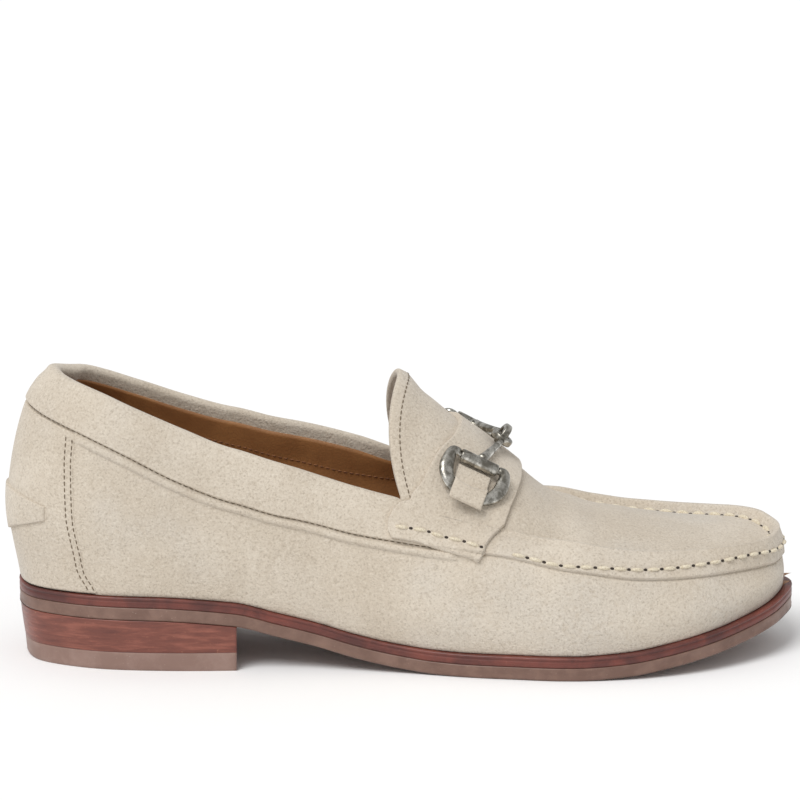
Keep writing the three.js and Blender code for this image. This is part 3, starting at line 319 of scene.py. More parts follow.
def wallPoint(turn, level):
    turn, level = np.broadcast_arrays(np.asarray(turn, float), np.asarray(level, float))
    line = [ring(turn) for ring in (featherPoint, bulgePoint, seamPoint, topPoint)]
    line = [2 * line[0] - line[1], *line, 2 * line[3] - line[2]]
    segment = np.clip(np.floor(level), 0, 2)
    share = (level - segment)[..., None]
    made = np.zeros(turn.shape + (3,))
    for i in range(3):
        a, b, c, d = line[i:i + 4]
        before, here, after = [
            np.sqrt(np.linalg.norm(q - p, axis=-1, keepdims=True)) for p, q in ((a, b), (b, c), (c, d))
        ]
        out = ((b - a) / before - (c - a) / (before + here) + (c - b) / here) * here
        into = ((c - b) / here - (d - b) / (here + after) + (d - c) / after) * here
        curve = hermite(b, c, out, into, 1, share)
        made = np.where((segment == i)[..., None], curve, made)
    return made


# Ridge, tongue and apron

def ridgeShare(x):
    return ease(0.59, 0.7, placeOf(x))


def shoulderPoint(turn):
    top = topPoint(turn)
    share = ridgeShare(top[..., 0])
    inset = mix(0.8, shoe["ridgeInset"], share)
    drop = mix(-2.5, shoe["ridgeHeight"], share)
    along = (top[..., 0] - (topStart + topEnd) / 2) / ((topEnd - topStart) / 2)
    x = top[..., 0] - inset * ease(0.75, 1, along)
    sideways = inset * np.minimum(1, np.abs(np.sin(turn)) * 1.6)
    return point(x, top[..., 1] - np.sign(top[..., 1]) * sideways, top[..., 2] - drop)


crestRise = columnCurve(crestRows, "rise")
crestFullness = columnCurve(crestRows, "fullness")


def apronPoint(angle, across):
    outer = shoulderPoint(angle)
    inner = shoulderPoint(turnRound - angle)
    x = (outer[..., 0] + inner[..., 0]) / 2
    share = (across + 1) / 2
    place = placeOf(x)
    crest = seat(x) + crestHeight(x) * crestRise(place)
    arch = 1 - np.abs(across) ** crestFullness(place)
    lift = np.maximum(0, crest - (outer[..., 2] + inner[..., 2]) / 2)
    hollow = shoe["tongueHollow"] * (1 - ease(shoe["throatPlace"], shoe["throatPlace"] + 0.1, place))
    side = 4 * across * across * (1 - across * across)
    y = mix(outer[..., 1], inner[..., 1], share)
    return point(x - hollow * side, y, mix(outer[..., 2], inner[..., 2], share) + lift * arch)


def skinPoint(angle, lane):
    angle, lane = np.broadcast_arrays(np.asarray(angle, float), np.asarray(lane, float))
    outer = lane <= 5
    turn = np.where(outer, angle, turnRound - angle)
    level = np.where(outer, lane, 10 - lane)
    wall = wallPoint(turn, np.minimum(level, 3))
    foot = shoulderPoint(turn)
    slope = mix(topPoint(turn), foot, clamp(level - 3)[..., None])
    apron = apronPoint(angle, np.clip(lane - 5, -1, 1))
    made = np.where((level <= 3)[..., None], wall, slope)
    return np.where((level >= 4)[..., None], apron, made)


def skinNormal(angle, lane):
    angle, lane = np.broadcast_arrays(np.asarray(angle, float), np.asarray(lane, float))
    step = 0.02
    isOpen = angle < throatAngle
    low = np.maximum(np.where(isOpen & (lane >= 7), 7, 0), lane - step)
    high = np.minimum(np.where(isOpen & (lane <= 3), 3, 10), lane + step)
    ahead = skinPoint(np.minimum(math.pi - 1e-4, angle + step), lane)
    behind = skinPoint(np.maximum(1e-4, angle - step), lane)
    return unit(np.cross(ahead - behind, skinPoint(angle, high) - skinPoint(angle, low)))


# Raised work on the wall and the apron, in millimetres along and out of the surface

relief = {
    "collarBand": 0.75,
    "lip": 1.0,
    "cord": 1.25,
    "cordWidth": 2.3,
    "cordDrop": 0.6,
    "groove": 0.6,
    "counterStep": 0.9,
    "counterReach": 24,
    "ridge": 1.25,
}


def seamRate(turn):
    step = 0.02
    gap = wallPoint(turn, 2 + step) - wallPoint(turn, 2 - step)
    return np.linalg.norm(gap, axis=-1) / (2 * step)


def nearSeam(turn, distance):
    return 2 + distance / seamRate(turn)


def bump(value):
    return np.sqrt(clamp(1 - value * value))


def isCorded(place):
    return ease(0.065, 0.1, place) * (1 - ease(0.555, 0.562, place))


counterRows = rows(
    "level place",
    (0, 0.1045), (0.33, 0.0907), (0.57, 0.0864), (0.76, 0.0825), (1.04, 0.0774),
    (1.28, 0.0761), (1.56, 0.0758), (1.88, 0.0783), (2, 0.079),
)
counterFront = columnCurve(counterRows, "place", "level")


def turnAt(level, x):
    low, high = np.zeros(np.shape(level)), np.full(np.shape(level), math.pi / 2)
    for _ in range(24):
        half = (low + high) / 2
        behind = wallPoint(half, level)[..., 0] < x
        low, high = np.where(behind, half, low), np.where(behind, high, half)
    return low


def counterTurn(level, back=0.0):
    return turnAt(level, xOf(counterFront(np.clip(level, 0, 2))) - back)


def wallLift(turn, level):
    seam = seamPoint(turn)
    place = placeOf(seam[..., 0])
    distance = (level - 2) * seamRate(turn)
    share = clamp((level - 2) / 1.0)
    collar = relief["collarBand"] * (1 - ease(0.5, 0.56, place))
    lip = relief["lip"] * ease(0.55, 0.6, place)
    fold = ease(-0.15, 0.75, distance) * (1 - ease(0.55, 1, share))
    lifted = (collar + lip) * fold
    middle = -relief["cordDrop"] - relief["cordWidth"] / 2
    cord = bump((distance - middle) / (relief["cordWidth"] / 2))
    lifted = lifted + relief["cord"] * cord * isCorded(place)
    lifted = lifted - relief["groove"] * np.exp(-((distance / 0.4) ** 2))
    return lifted


ridgeRows = rows("along rise", (0, 0), (0.2, 0.5), (0.45, 1), (0.7, 0.62), (1, 0))
ridgeCurve = columnCurve(ridgeRows, "rise")


def ridgeLift(lane, x):
    fromEdge = np.minimum(lane - 3, 7 - lane)
    return relief["ridge"] * ridgeCurve(fromEdge) * ridgeShare(x)


def outside(angle, lane, lift=0.0):
    angle, lane = np.broadcast_arrays(np.asarray(angle, float), np.asarray(lane, float))
    made = skinPoint(angle, lane)
    way = skinNormal(angle, lane)
    outer = lane <= 5
    level = np.where(outer, lane, 10 - lane)
    onWall = level <= 3
    raised = wallLift(np.where(outer, angle, turnRound - angle), np.minimum(level, 3))
    made = made + way * (np.where(onWall, raised, 0) + lift)[..., None]
    made[..., 2] += np.where(onWall, 0, ridgeLift(lane, made[..., 0]))
    return made, way


# The frame's own place of the sole ties both models together

soleTurns = np.linspace(0, turnRound, 1441)
soleLow = np.append(soleEdge(soleTurns).min(0), 0)
shift = np.array(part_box("outsole")[0]) * 1000 - soleLow
shift[2] = 0


def toMetres(points):
    return (points + shift) / 1000


# Meshes: a primitive grid is added and laid on the points of a surface

def active(piece):
    bpy.ops.object.select_all(action="DESELECT")
    piece.select_set(True)
    bpy.context.view_layer.objects.active = piece


def gridPiece(name, points):
    across, along = points.shape[0] - 1, points.shape[1] - 1
    bpy.ops.object.select_all(action="DESELECT")
    bpy.ops.mesh.primitive_grid_add(x_subdivisions=across, y_subdivisions=along, size=2)
    piece = bpy.context.object
    piece.name = name
    at = np.zeros(len(piece.data.vertices) * 3)
    piece.data.vertices.foreach_get("co", at)
    at = at.reshape(-1, 3)
    i = np.rint((at[:, 0] + 1) / 2 * across).astype(int)
    j = np.rint((at[:, 1] + 1) / 2 * along).astype(int)
    piece.data.vertices.foreach_set("co", toMetres(points[i, j]).ravel())
    piece.data.update()
    return piece


def joined(name, pieces, weld=2e-6):
    bpy.ops.object.select_all(action="DESELECT")
    for piece in pieces:
        piece.select_set(True)
    bpy.context.view_layer.objects.active = pieces[0]
    if len(pieces) > 1:
        bpy.ops.object.join()
    whole = bpy.context.object
    whole.name = name
    if weld:
        bpy.ops.object.mode_set(mode="EDIT")
        bpy.ops.mesh.select_all(action="SELECT")
        bpy.ops.mesh.remove_doubles(threshold=weld)
        bpy.ops.mesh.normals_make_consistent(inside=False)
        bpy.ops.object.mode_set(mode="OBJECT")
    return whole


def modified(piece, kind, **settings):
    active(piece)
    modifier = piece.modifiers.new(kind.title(), kind)
    for key, value in settings.items():
        setattr(modifier, key, value)
    bpy.ops.object.modifier_apply(modifier=modifier.name)


def finished(piece, material, stands=()):
    active(piece)
    bpy.ops.object.shade_smooth()
    piece.data.materials.clear()
    piece.data.materials.append(material)
    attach(piece, "root")
    for node in stands:
        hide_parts(node)
    print("made", piece.name, len(piece.data.polygons), "faces")
    return piece


def edgeGap(points):
    across = np.linalg.norm(np.diff(points, axis=0), axis=-1)
    along = np.linalg.norm(np.diff(points, axis=1), axis=-1)
    fromTop = np.concatenate([np.zeros((1, points.shape[1])), np.cumsum(across, 0)])
    fromSide = np.concatenate([np.zeros((points.shape[0], 1)), np.cumsum(along, 1)], 1)
    ends = np.minimum(fromTop, fromTop[-1:] - fromTop)
    sides = np.minimum(fromSide, fromSide[:, -1:] - fromSide)
    return ends, sides


def rounded(gap, radius):
    return bump(1 - clamp(gap / radius))


def crowded(count, power=1.6):
    half = np.linspace(-1, 1, count)
    return (np.sign(half) * (1 - (1 - np.abs(half)) ** power) + 1) / 2


def laid(name, angles, lanes, lift, thickness, round_, more=None):
    base, way = outside(angles, lanes)
    ends, sides = edgeGap(base)
    height = np.minimum(rounded(ends, round_), rounded(sides, round_)) * thickness
    if more is not None:
        height = height + more
    over = base + way * (lift + height)[..., None]
    under = base + way * (lift - 0.25)
    top = gridPiece(name, over)
    low = gridPiece(name + "_under", under)
    rim = lambda grid: np.concatenate([grid[:-1, 0], grid[-1, :-1], grid[:0:-1, -1], grid[0, ::-1]])
    side = gridPiece(name + "_side", np.stack([rim(over), rim(under)], 1))
    return joined(name, [top, low, side])


# Materials

def colour(red, green, blue):
    def linear(value):
        share = value / 255
        return share / 12.92 if share <= 0.04045 else ((share + 0.055) / 1.055) ** 2.4

    return (linear(red), linear(green), linear(blue), 1)


class Wire:
    def __init__(self, paint, socket):
        self.paint = paint
        self.socket = socket

    def sum(self, operation, first, second):
        inputs = {0: first, 1: second}
        return self.paint.node("ShaderNodeMath", {"operation": operation}, inputs)

    def __add__(self, other):
        return self.sum("ADD", self, other)

    def __sub__(self, other):
        return self.sum("SUBTRACT", self, other)

    def __mul__(self, other):
        return self.sum("MULTIPLY", self, other)

    __radd__ = __add__
    __rmul__ = __mul__


class Paint:
    def __init__(self, name, **constants):
        self.material = bpy.data.materials.new(name)
        self.material.use_nodes = True
        self.tree = self.material.node_tree
        self.shader = self.tree.nodes["Principled BSDF"]
        self.place = self.node("ShaderNodeTexCoord", {}, {}, "Object")
        for key, value in constants.items():
            self.set(key, value)

    def node(self, kind, settings, inputs, output=0):
        made = self.tree.nodes.new(kind)
        for key, value in settings.items():
            if key == "stops":
                for i, (at, tone) in enumerate(value):
                    spot = made.color_ramp.elements
                    stop = spot[i] if i < 2 else spot.new(at)
                    stop.position = at
                    stop.color = tone
            else:
                setattr(made, key, value)
        for key, value in inputs.items():
            self.join(made.inputs[key], value)
        return Wire(self, made.outputs[output])

    def join(self, socket, value):
        if isinstance(value, Wire):
            self.tree.links.new(value.socket, socket)
        else:
            socket.default_value = value

    def set(self, name, value):
        socket = self.shader.inputs[name.replace("_", " ").title().replace("Ior", "IOR")]
        self.join(socket, value)

    def noise(self, size, detail=3, rough=0.55, warp=0.0, stretch=None):
        at = self.place
        if stretch:
            at = self.node("ShaderNodeMapping", {}, {"Vector": at, "Scale": stretch})
        inputs = {"Vector": at, "Scale": 1000 / size, "Detail": detail, "Roughness": rough}
        return self.node("ShaderNodeTexNoise", {}, {**inputs, "Distortion": warp})

    def range(self, value, low, high, first=0.0, last=1.0):
        inputs = {"Value": value, 1: low, 2: high, 3: first, 4: last}
        return self.node("ShaderNodeMapRange", {"interpolation_type": "SMOOTHSTEP"}, inputs)

    def blend(self, a, b, share):
        return self.node("ShaderNodeMix", {"data_type": "RGBA"}, {0: share, 6: a, 7: b}, 2)

    def bump(self, height, strength, distance):
        inputs = {"Height": height, "Strength": strength, "Distance": distance / 1000}
        return self.node("ShaderNodeBump", {}, inputs)


suedeLook = {
    "cream": colour(212, 201, 185),
    "sand": colour(192, 179, 161),
    "grey": colour(202, 196, 187),
    "shade": colour(136, 121, 102),
    "napSize": 0.85,
    "tuftSize": 2.0,
    "napBump": 0.55,
}


def suede(name):
    look = suedeLook
    paint = Paint(name, roughness=0.95, sheen_weight=0.25, sheen_roughness=0.5)
    paint.set("specular_ior_level", 0.12)
    patches = paint.range(paint.noise(34, 3, 0.6, 0.4), 0.3, 0.72)
    cool = paint.range(paint.noise(48, 2, 0.5), 0.45, 0.75)
    nap = paint.noise(look["napSize"], 3, 0.7)
    tufts = paint.noise(look["tuftSize"], 3, 0.65, 0.3)
    base = paint.blend(look["sand"], look["cream"], patches * 0.6 + 0.35)
    base = paint.blend(base, look["grey"], cool * 0.5)
    base = paint.blend(base, look["shade"], paint.range(nap, 0.5, 0.3) * 0.42)
    base = paint.blend(base, colour(232, 223, 208), paint.range(nap, 0.52, 0.7) * 0.4)
    base = paint.blend(base, look["sand"], paint.range(tufts, 0.5, 0.32) * 0.4)
    paint.join(paint.shader.inputs["Base Color"], base)
    paint.set("normal", paint.bump(nap * 0.7 + tufts * 0.6, 1.0, look["napBump"]))
    return paint.material


def leather(name, tone, deep, rough=0.5, grain=1.4, coat=0.0):
    paint = Paint(name, coat_weight=coat, coat_roughness=0.3)
    mottle = paint.range(paint.noise(22, 4, 0.6, 0.4), 0.35, 0.7)
    cells = paint.node(
        "ShaderNodeTexVoronoi", {"feature": "DISTANCE_TO_EDGE"},
        {"Vector": paint.place, "Scale": 1000 / grain},
    )
    fine = paint.noise(0.6, 3, 0.6)
    base = paint.blend(deep, tone, mottle)
    base = paint.blend(base, deep, paint.range(cells, 0.12, 0.0) * 0.25)
    paint.join(paint.shader.inputs["Base Color"], base)
    paint.set("roughness", paint.range(mottle, 0, 1, rough + 0.06, rough - 0.05))
    height = paint.range(cells, 0.0, 0.2) * 0.6 + fine * 0.3
    paint.set("normal", paint.bump(height, 0.5, 0.12))
    return paint.material


def stackedLeather(name):
    paint = Paint(name, coat_weight=0.25, coat_roughness=0.28)
    streaks = paint.noise(3.2, 5, 0.65, 0.3, (0.22, 0.22, 1.6))
    fine = paint.noise(0.9, 4, 0.7, 0, (0.3, 0.3, 1.5))
    flecks = paint.range(paint.noise(1.3, 2, 0.6), 0.66, 0.78)
    stops = [
        (0.3, colour(98, 48, 38)), (0.62, colour(138, 78, 62)),
        (0.5, colour(118, 62, 48)), (0.78, colour(158, 98, 78)),
    ]
    base = paint.node("ShaderNodeValToRGB", {"stops": stops}, {0: streaks})
    base = paint.blend(base, colour(196, 140, 104), flecks * 0.35)
    base = paint.blend(base, colour(92, 40, 28), paint.range(fine, 0.42, 0.25) * 0.5)
    paint.join(paint.shader.inputs["Base Color"], base)
    paint.set("roughness", paint.range(fine, 0.3, 0.7, 0.36, 0.5))
    paint.set("normal", paint.bump(fine, 0.35, 0.1))
    return paint.material


def rubber(name, tone, deep):
    paint = Paint(name, coat_weight=0.12, coat_roughness=0.35)
    cloud = paint.range(paint.noise(9, 4, 0.6, 0.3), 0.35, 0.7)
    specks = paint.range(paint.noise(0.8, 2, 0.5), 0.68, 0.8)
    base = paint.blend(deep, tone, cloud)
    base = paint.blend(base, colour(196, 176, 164), specks * 0.35)
    paint.join(paint.shader.inputs["Base Color"], base)
    paint.set("roughness", paint.range(cloud, 0, 1, 0.52, 0.42))
    paint.set("normal", paint.bump(paint.noise(1.2, 4, 0.6), 0.25, 0.1))
    return paint.material


def weltLeather(name):
    paint = Paint(name, coat_weight=0.2, coat_roughness=0.3)
    cloud = paint.range(paint.noise(14, 4, 0.6, 0.5), 0.35, 0.68)
    grain = paint.noise(0.9, 4, 0.65)
    base = paint.blend(colour(78, 34, 28), colour(116, 56, 44), cloud)
    base = paint.blend(base, colour(164, 104, 88), paint.range(grain, 0.58, 0.78) * 0.35)
    paint.join(paint.shader.inputs["Base Color"], base)
    paint.set("roughness", paint.range(grain, 0.3, 0.7, 0.38, 0.52))
    paint.set("normal", paint.bump(grain, 0.4, 0.12))
    return paint.material


def thread(name, tone, deep):
    paint = Paint(name, roughness=0.8, sheen_weight=0.25)
    twist = paint.noise(0.5, 3, 0.6)
    paint.join(paint.shader.inputs["Base Color"], paint.blend(deep, tone, paint.range(twist, 0.35, 0.6)))
    paint.set("normal", paint.bump(twist, 0.6, 0.1))
    return paint.material


def pewter(name):
    paint = Paint(name)
    cloud = paint.range(paint.noise(4, 4, 0.65, 0.4), 0.35, 0.7)
    pits = paint.noise(0.7, 3, 0.6)
    # Base colour runs in random patches from dark grey to near white: partly the metal's own tarnish, partly painted
    # reflection, its bright and dark patches standing in for highlights and dark reflections
    base = paint.blend(colour(116, 112, 103), colour(214, 211, 203), cloud)
    base = paint.blend(base, colour(82, 78, 70), paint.range(pits, 0.5, 0.3) * 0.5)
    paint.join(paint.shader.inputs["Base Color"], base)
    paint.set("metallic", 1.0)
    paint.set("roughness", paint.range(cloud, 0, 1, 0.36, 0.22))
    paint.set("normal", paint.bump(pits, 0.35, 0.06))
    return paint.material


def plain(name, tone, rough=0.8):
    paint = Paint(name, roughness=rough)
    grain = paint.noise(0.8, 2, 0.5)
    paint.join(paint.shader.inputs["Base Color"], paint.blend(tone, colour(70, 58, 46), paint.range(grain, 0.5, 0.8)))
    return paint.material


materials = {
    "suede": suede("suede_beige"),
    "lining": leather("lining_tan", colour(172, 122, 76), colour(150, 102, 60), 0.5, 1.6, 0.1),
    "sock": leather("sock_tan", colour(180, 128, 84), colour(150, 102, 62), 0.5, 1.6, 0.1),
    "welt": weltLeather("welt_redbrown"),
    "outsole": rubber("sole_taupe", colour(128, 99, 86), colour(110, 82, 70)),
    "stack": stackedLeather("heel_stacked"),
    "lift": rubber("heel_taupe", colour(152, 125, 114), colour(136, 108, 97)),
    "metal": pewter("bit_pewter"),
    "cream": thread("thread_cream", colour(226, 216, 194), colour(198, 184, 158)),
    "beige": thread("thread_beige", colour(120, 104, 82), colour(84, 70, 54)),
    "tanThread": thread("thread_tan", colour(140, 92, 54), colour(104, 66, 38)),
    # Needle holes: a near-black colour that is painted shade, standing in for the shadow inside each hole
    "shadeInHoles": plain("needle_hole_painted_shade", colour(48, 38, 30)),
}
print("materials ready:", len(materials))


# Sole layers

def solePiece(name, profile, material, stands, turns=480):
    turn = np.linspace(0, turnRound, turns + 1)
    spine = (soleEdge(turn) + soleEdge(turnRound - turn)) / 2
    lines = []
    for inset, share, height in profile:
        edge = soleEdge(turn, np.full_like(turn, inset))
        flat = mix(edge, spine, share)
        lines.append(point(flat[:, 0], flat[:, 1], height(flat[:, 0])))
    piece = joined(name, [gridPiece(name, np.stack(lines, 1))])
    return finished(piece, material, stands)


outsoleForm = {"thickness": shoe["outsoleThickness"], "round": 1.1, "sideHollow": 0.15}


def makeOutsole():
    form = outsoleForm
    top = lambda x: underside(x) + form["thickness"]
    profile = [(0, share, underside) for share in (1, 0.75, 0.5, 0.25, 0.06)]
    for step in np.linspace(0, math.pi / 2, 6):
        inset = form["round"] * (1 - math.sin(step))
        rise = form["round"] * (1 - math.cos(step))
        profile.append((inset, 0, lambda x, rise=rise: underside(x) + rise))
    for share in (0.35, 0.5, 0.65):
        rise = form["thickness"] * share
        profile.append((form["sideHollow"], 0, lambda x, rise=rise: underside(x) + rise))
    profile.append((0, 0, lambda x: top(x) - 0.5))
    profile.append((0.1, 0, lambda x: top(x) - 0.15))
    profile.append((0.4, 0, top))
    profile += [(0.4, share, top) for share in (0.25, 0.5, 1)]
    solePiece("outsole_layer", profile, materials["outsole"], ["outsole"])


weltForm = {"thickness": shoe["weltThickness"] + 0.25, "grooveDepth": 0.45, "grooveAt": 0.66}


def makeWelt():
    form = weltForm
    low = lambda x: weltTop(x) - form["thickness"]
    side = [
        (0.4, 0), (0.12, 0.06), (0, 0.16), (0, 0.4), (0.08, 0.55),
        (form["grooveDepth"], form["grooveAt"]), (0.1, 0.74), (-0.05, 0.84), (0.05, 0.93),
        (0.35, 0.99), (0.7, 1),
    ]
    profile = [(0.4, share, low) for share in (1, 0.5, 0.2)]
    for inset, share in side:
        rise = share * form["thickness"]
        profile.append((inset, 0, lambda x, rise=rise: low(x) + rise))
    profile += [(0.7, share, weltTop) for share in (0.12, 0.3, 0.6, 1)]
    solePiece("welt_layer", profile, materials["welt"], ["welt"])


def heelLoop(inset, count=260):
    breast = float(angleOf(shoe["heelLength"] / shoe["soleLength"]))
    turn = np.linspace(-breast, breast, count)
    edge = soleEdge(turn, np.full_like(turn, inset) * mix(1, 0.4, ease(0, 0.35, alongOf(turn))))
    start, end = edge[-1], edge[0]
    share = np.linspace(0, 1, 61)[1:-1]
    face = mix(start[None], end[None], share[:, None])
    face[:, 0] -= shoe["breastHollow"] * (1 - (2 * share - 1) ** 2)
    return np.concatenate([edge, face, edge[:1]])


def heelPiece(name, profile, material, stands):
    lines = []
    for inset, shrink, height in profile:
        loop = heelLoop(inset)
        centre = np.array([[shoe["heelLength"] / 2, 0]])
        flat = mix(loop, centre, shrink)
        lines.append(point(flat[:, 0], flat[:, 1], height(flat[:, 0])))
    piece = joined(name, [gridPiece(name, np.stack(lines, 1))])
    return finished(piece, material, stands)


heelForm = {"layers": 5, "layerGroove": 0.06, "bulge": 0.12}


def makeHeel():
    form = heelForm
    low = shoe["topLiftThickness"] + 0.05
    top = lambda x: underside(x) - 0.05
    profile = [(0.75 * shoe["heelTaper"], share, lambda x: low) for share in (1, 0.5, 0.02)]
    steps = np.linspace(0, 1, 41)
    for share in steps:
        seam = abs((share * form["layers"] + 0.5) % 1 - 0.5)
        groove = form["layerGroove"] * math.exp(-((seam / 0.07) ** 2))
        inset = mix(0.75, 0.12, share) * shoe["heelTaper"] + groove - form["bulge"] * 4 * share * (1 - share)
        profile.append((inset, 0, lambda x, share=share: mix(low, top(x), share)))
    profile += [(0.12 * shoe["heelTaper"], share, top) for share in (0.02, 0.5, 1)]
    heelPiece("heel_stack", profile, materials["stack"], ["heel_block"])
    high = shoe["topLiftThickness"]
    taper = shoe["heelTaper"]
    profile = [(1.25 * taper, share, lambda x: 0 * x) for share in (1, 0.5, 0.03)]
    profile += [(1.22 * taper, 0, lambda x: 0 * x), (1.1 * taper, 0, lambda x: 0 * x + 0.35)]
    for share in np.linspace(0.13, 0.97, 8):
        profile.append((mix(1.02, 0.76, share) * taper, 0, lambda x, share=share: 0 * x + share * high))
    profile += [(0.85 * taper, 0, lambda x: 0 * x + high), (0.9 * taper, 0.03, lambda x: 0 * x + high)]
    profile += [(0.9 * taper, share, lambda x: 0 * x + high) for share in (0.5, 1)]
    heelPiece("top_lift_layer", profile, materials["lift"], ["top_lift"])


sockForm = {"inset": 4.2, "thickness": 3.0, "edgeRound": 1.2}


def makeSock():
    form = sockForm
    low = lambda x: weltTop(x) + 0.05
    high = lambda x: low(x) + form["thickness"]
    profile = [(form["inset"], share, low) for share in (1, 0.5, 0)]
    for step in np.linspace(0, math.pi / 2, 5):
        inset = form["inset"] + form["edgeRound"] * (1 - math.cos(step))
        drop = form["edgeRound"] * (1 - math.sin(step))
        profile.append((inset, 0, lambda x, drop=drop: high(x) - drop))
    profile += [(form["inset"] + 1.2, share, high) for share in (0.15, 0.4, 0.7, 1)]
    solePiece("sock_layer", profile, materials["sock"], ["insole"])


# Upper: outer skin, padded rim, tongue and apron, and the inner wall

upperForm = {
    "backColumns": 150,
    "frontColumns": 130,
    "lowRows": 26,
    "highRows": 22,
    "wall": 2.0,
    "rim": 4.6,
    "rimRound": 2.2,
    "tongueEdge": 3.0,
    "tongueRound": 1.5,
    "bindingDrop": 2.9,
}

openAngles = np.linspace(0, throatAngle, upperForm["backColumns"])
closedAngles = np.linspace(throatAngle, math.pi, upperForm["frontColumns"])
sideAngles = np.concatenate([openAngles, closedAngles[1:]])
ringTurns = np.concatenate([sideAngles, turnRound - sideAngles[-2::-1]])
apronLanes = np.concatenate([
    np.linspace(3, 4, 13), np.linspace(4, 6, 57)[1:], np.linspace(6, 7, 13)[1:],
])


def wallRows(turn):
    low = nearSeam(turn, -4)
    rowsLow = [low * share for share in np.linspace(0, 1, upperForm["lowRows"])]
    fine = [nearSeam(turn, distance) for distance in np.arange(-3.75, 2.01, 0.25)]
    high = nearSeam(turn, 2)
    rowsHigh = [mix(high, 3, share) for share in np.linspace(0, 1, upperForm["highRows"])[1:]]
    return np.stack([*rowsLow, *fine, *rowsHigh], 1)


def wallSkin(turn, level, lift=0.0):
    outer = turn <= math.pi
    angle = np.where(outer, turn, turnRound - turn)
    return outside(angle, np.where(outer, level, 10 - level), lift)


def sunkUnderCounter(turn, level):
    kept = np.clip(level, 0, 2)
    x = wallPoint(turn, kept)[..., 0]
    edge = xOf(counterFront(kept))
    distance = (level - 2) * seamRate(turn)
    sunk = (1 - ease(edge - 1.3, edge - 0.4, x)) * (1 - ease(-0.5, -0.1, distance))
    return -relief["counterStep"] * sunk


def innerDepth(turn, level):
    x = topPoint(turn)[..., 0]
    throat = shoe["throatPlace"]
    collar = 1 - ease(throat - 0.03, throat + 0.03, placeOf(x))
    pad = collar * (upperForm["rim"] - upperForm["wall"])
    return upperForm["wall"] + pad * ease(1.9, 2.95, level) + relief["counterStep"] * (1 - ease(24, 27, x))


def innerWall(turn, level, more=0.0):
    outer = turn <= math.pi
    angle = np.where(outer, turn, turnRound - turn)
    lane = np.where(outer, level, 10 - level)
    made = skinPoint(angle, lane) - skinNormal(angle, lane) * (innerDepth(turn, level) + more)[..., None]
    sunk = shoe["ridgeHeight"] * ridgeShare(topPoint(turn)[..., 0]) * ease(2.4, 3, level)
    made[..., 2] -= sunk
    return made


def underApron(angle, lane, wallTops, more=0.0):
    kept = np.clip(lane, 3.45, 6.55)
    made = skinPoint(angle, kept)
    edge = 1 - ease(shoe["throatPlace"], shoe["throatPlace"] + 0.04, placeOf(made[..., 0]))
    depth = mix(upperForm["wall"], upperForm["tongueEdge"], edge) + more
    made = made - skinNormal(angle, kept) * depth[..., None]
    near = clamp(1 - (np.minimum(lane, 10 - lane) - 3) / 0.45)[..., None]
    tops = np.where((lane < 5)[..., None], wallTops[0][:, None], wallTops[1][:, None])
    return mix(made, tops, near)


def makeUpper():
    form = upperForm
    turn = ringTurns[:, None] + np.zeros((1, 1))
    levels = wallRows(ringTurns)
    turnGrid = np.broadcast_to(turn, levels.shape)
    skin, way = wallSkin(turnGrid, levels, sunkUnderCounter(turnGrid, levels))
    toe = len(sideAngles) - 1
    way[toe - 2:toe + 3, 0] = unit(way[toe - 3, 0] + way[toe + 3, 0])
    foot = skin[:, :1].copy()
    inward = unit(way[:, :1] * [1, 1, 0])
    tuck = [foot - inward * reach - [0, 0, drop] for reach, drop in ((2.0, 0.28), (0.7, 0.28), (0.2, 0.14))]
    outer = np.concatenate([*tuck, skin], 1)
    innerLevels = np.concatenate([np.linspace(0, 2, 9), np.linspace(2, 3, 9)[1:]])
    inner = innerWall(*np.broadcast_arrays(ringTurns[:, None], innerLevels[None]))
    footIn = inner[:, :1] - [0, 0, 0.28]
    inner = np.concatenate([outer[:, :1], footIn, inner], 1)
    angleGrid, laneGrid = np.broadcast_arrays(closedAngles[:, None], apronLanes[None])
    apron, _ = outside(angleGrid, laneGrid)
    apron[:, 0] = skin[len(openAngles) - 1:len(sideAngles), -1]
    other = skin[::-1][len(openAngles) - 1:len(sideAngles), -1]
    apron[:, -1] = other
    reach = slice(len(openAngles) - 1, len(sideAngles))
    under = underApron(angleGrid, laneGrid, (inner[reach, -1], inner[::-1][reach, -1]))
    count = len(openAngles)
    outerLoop = np.concatenate([skin[:count, -1], apron[0, 1:-1], skin[-count:, -1]])
    innerLoop = np.concatenate([inner[:count, -1], under[0, 1:-1], inner[-count:, -1]])
    wallUp = unit(skin[:, -1] - skin[:, -4])
    tongueUp = unit(apron[0] - apron[2])
    away = np.concatenate([wallUp[:count], tongueUp[1:-1], wallUp[-count:]])
    onTongue = np.concatenate([np.zeros(count), np.ones(len(apronLanes) - 2), np.zeros(count)])
    onTongue[[count - 1, -count]] = 0.5
    for _ in range(6):
        onTongue[1:-1] = (onTongue[:-2] + 2 * onTongue[1:-1] + onTongue[2:]) / 4
        away[1:-1] = unit(away[:-2] + 2 * away[1:-1] + away[2:])
    reach = mix(form["rimRound"], form["tongueRound"], onTongue)[:, None]
    centre = (outerLoop + innerLoop) / 2
    half = (outerLoop - innerLoop) / 2
    rim = [
        centre + half * math.cos(step) + away * reach * math.sin(step) for step in np.linspace(0, math.pi, 13)
    ]
    rim[0], rim[-1] = outerLoop, innerLoop
    pieces = [
        gridPiece("upper_suede", outer), gridPiece("a", inner), gridPiece("b", apron),
        gridPiece("c", under), gridPiece("d", np.stack(rim, 1)),
    ]
    piece = joined("upper_suede", pieces, 3e-6)
    finished(piece, materials["suede"], ["upper"])


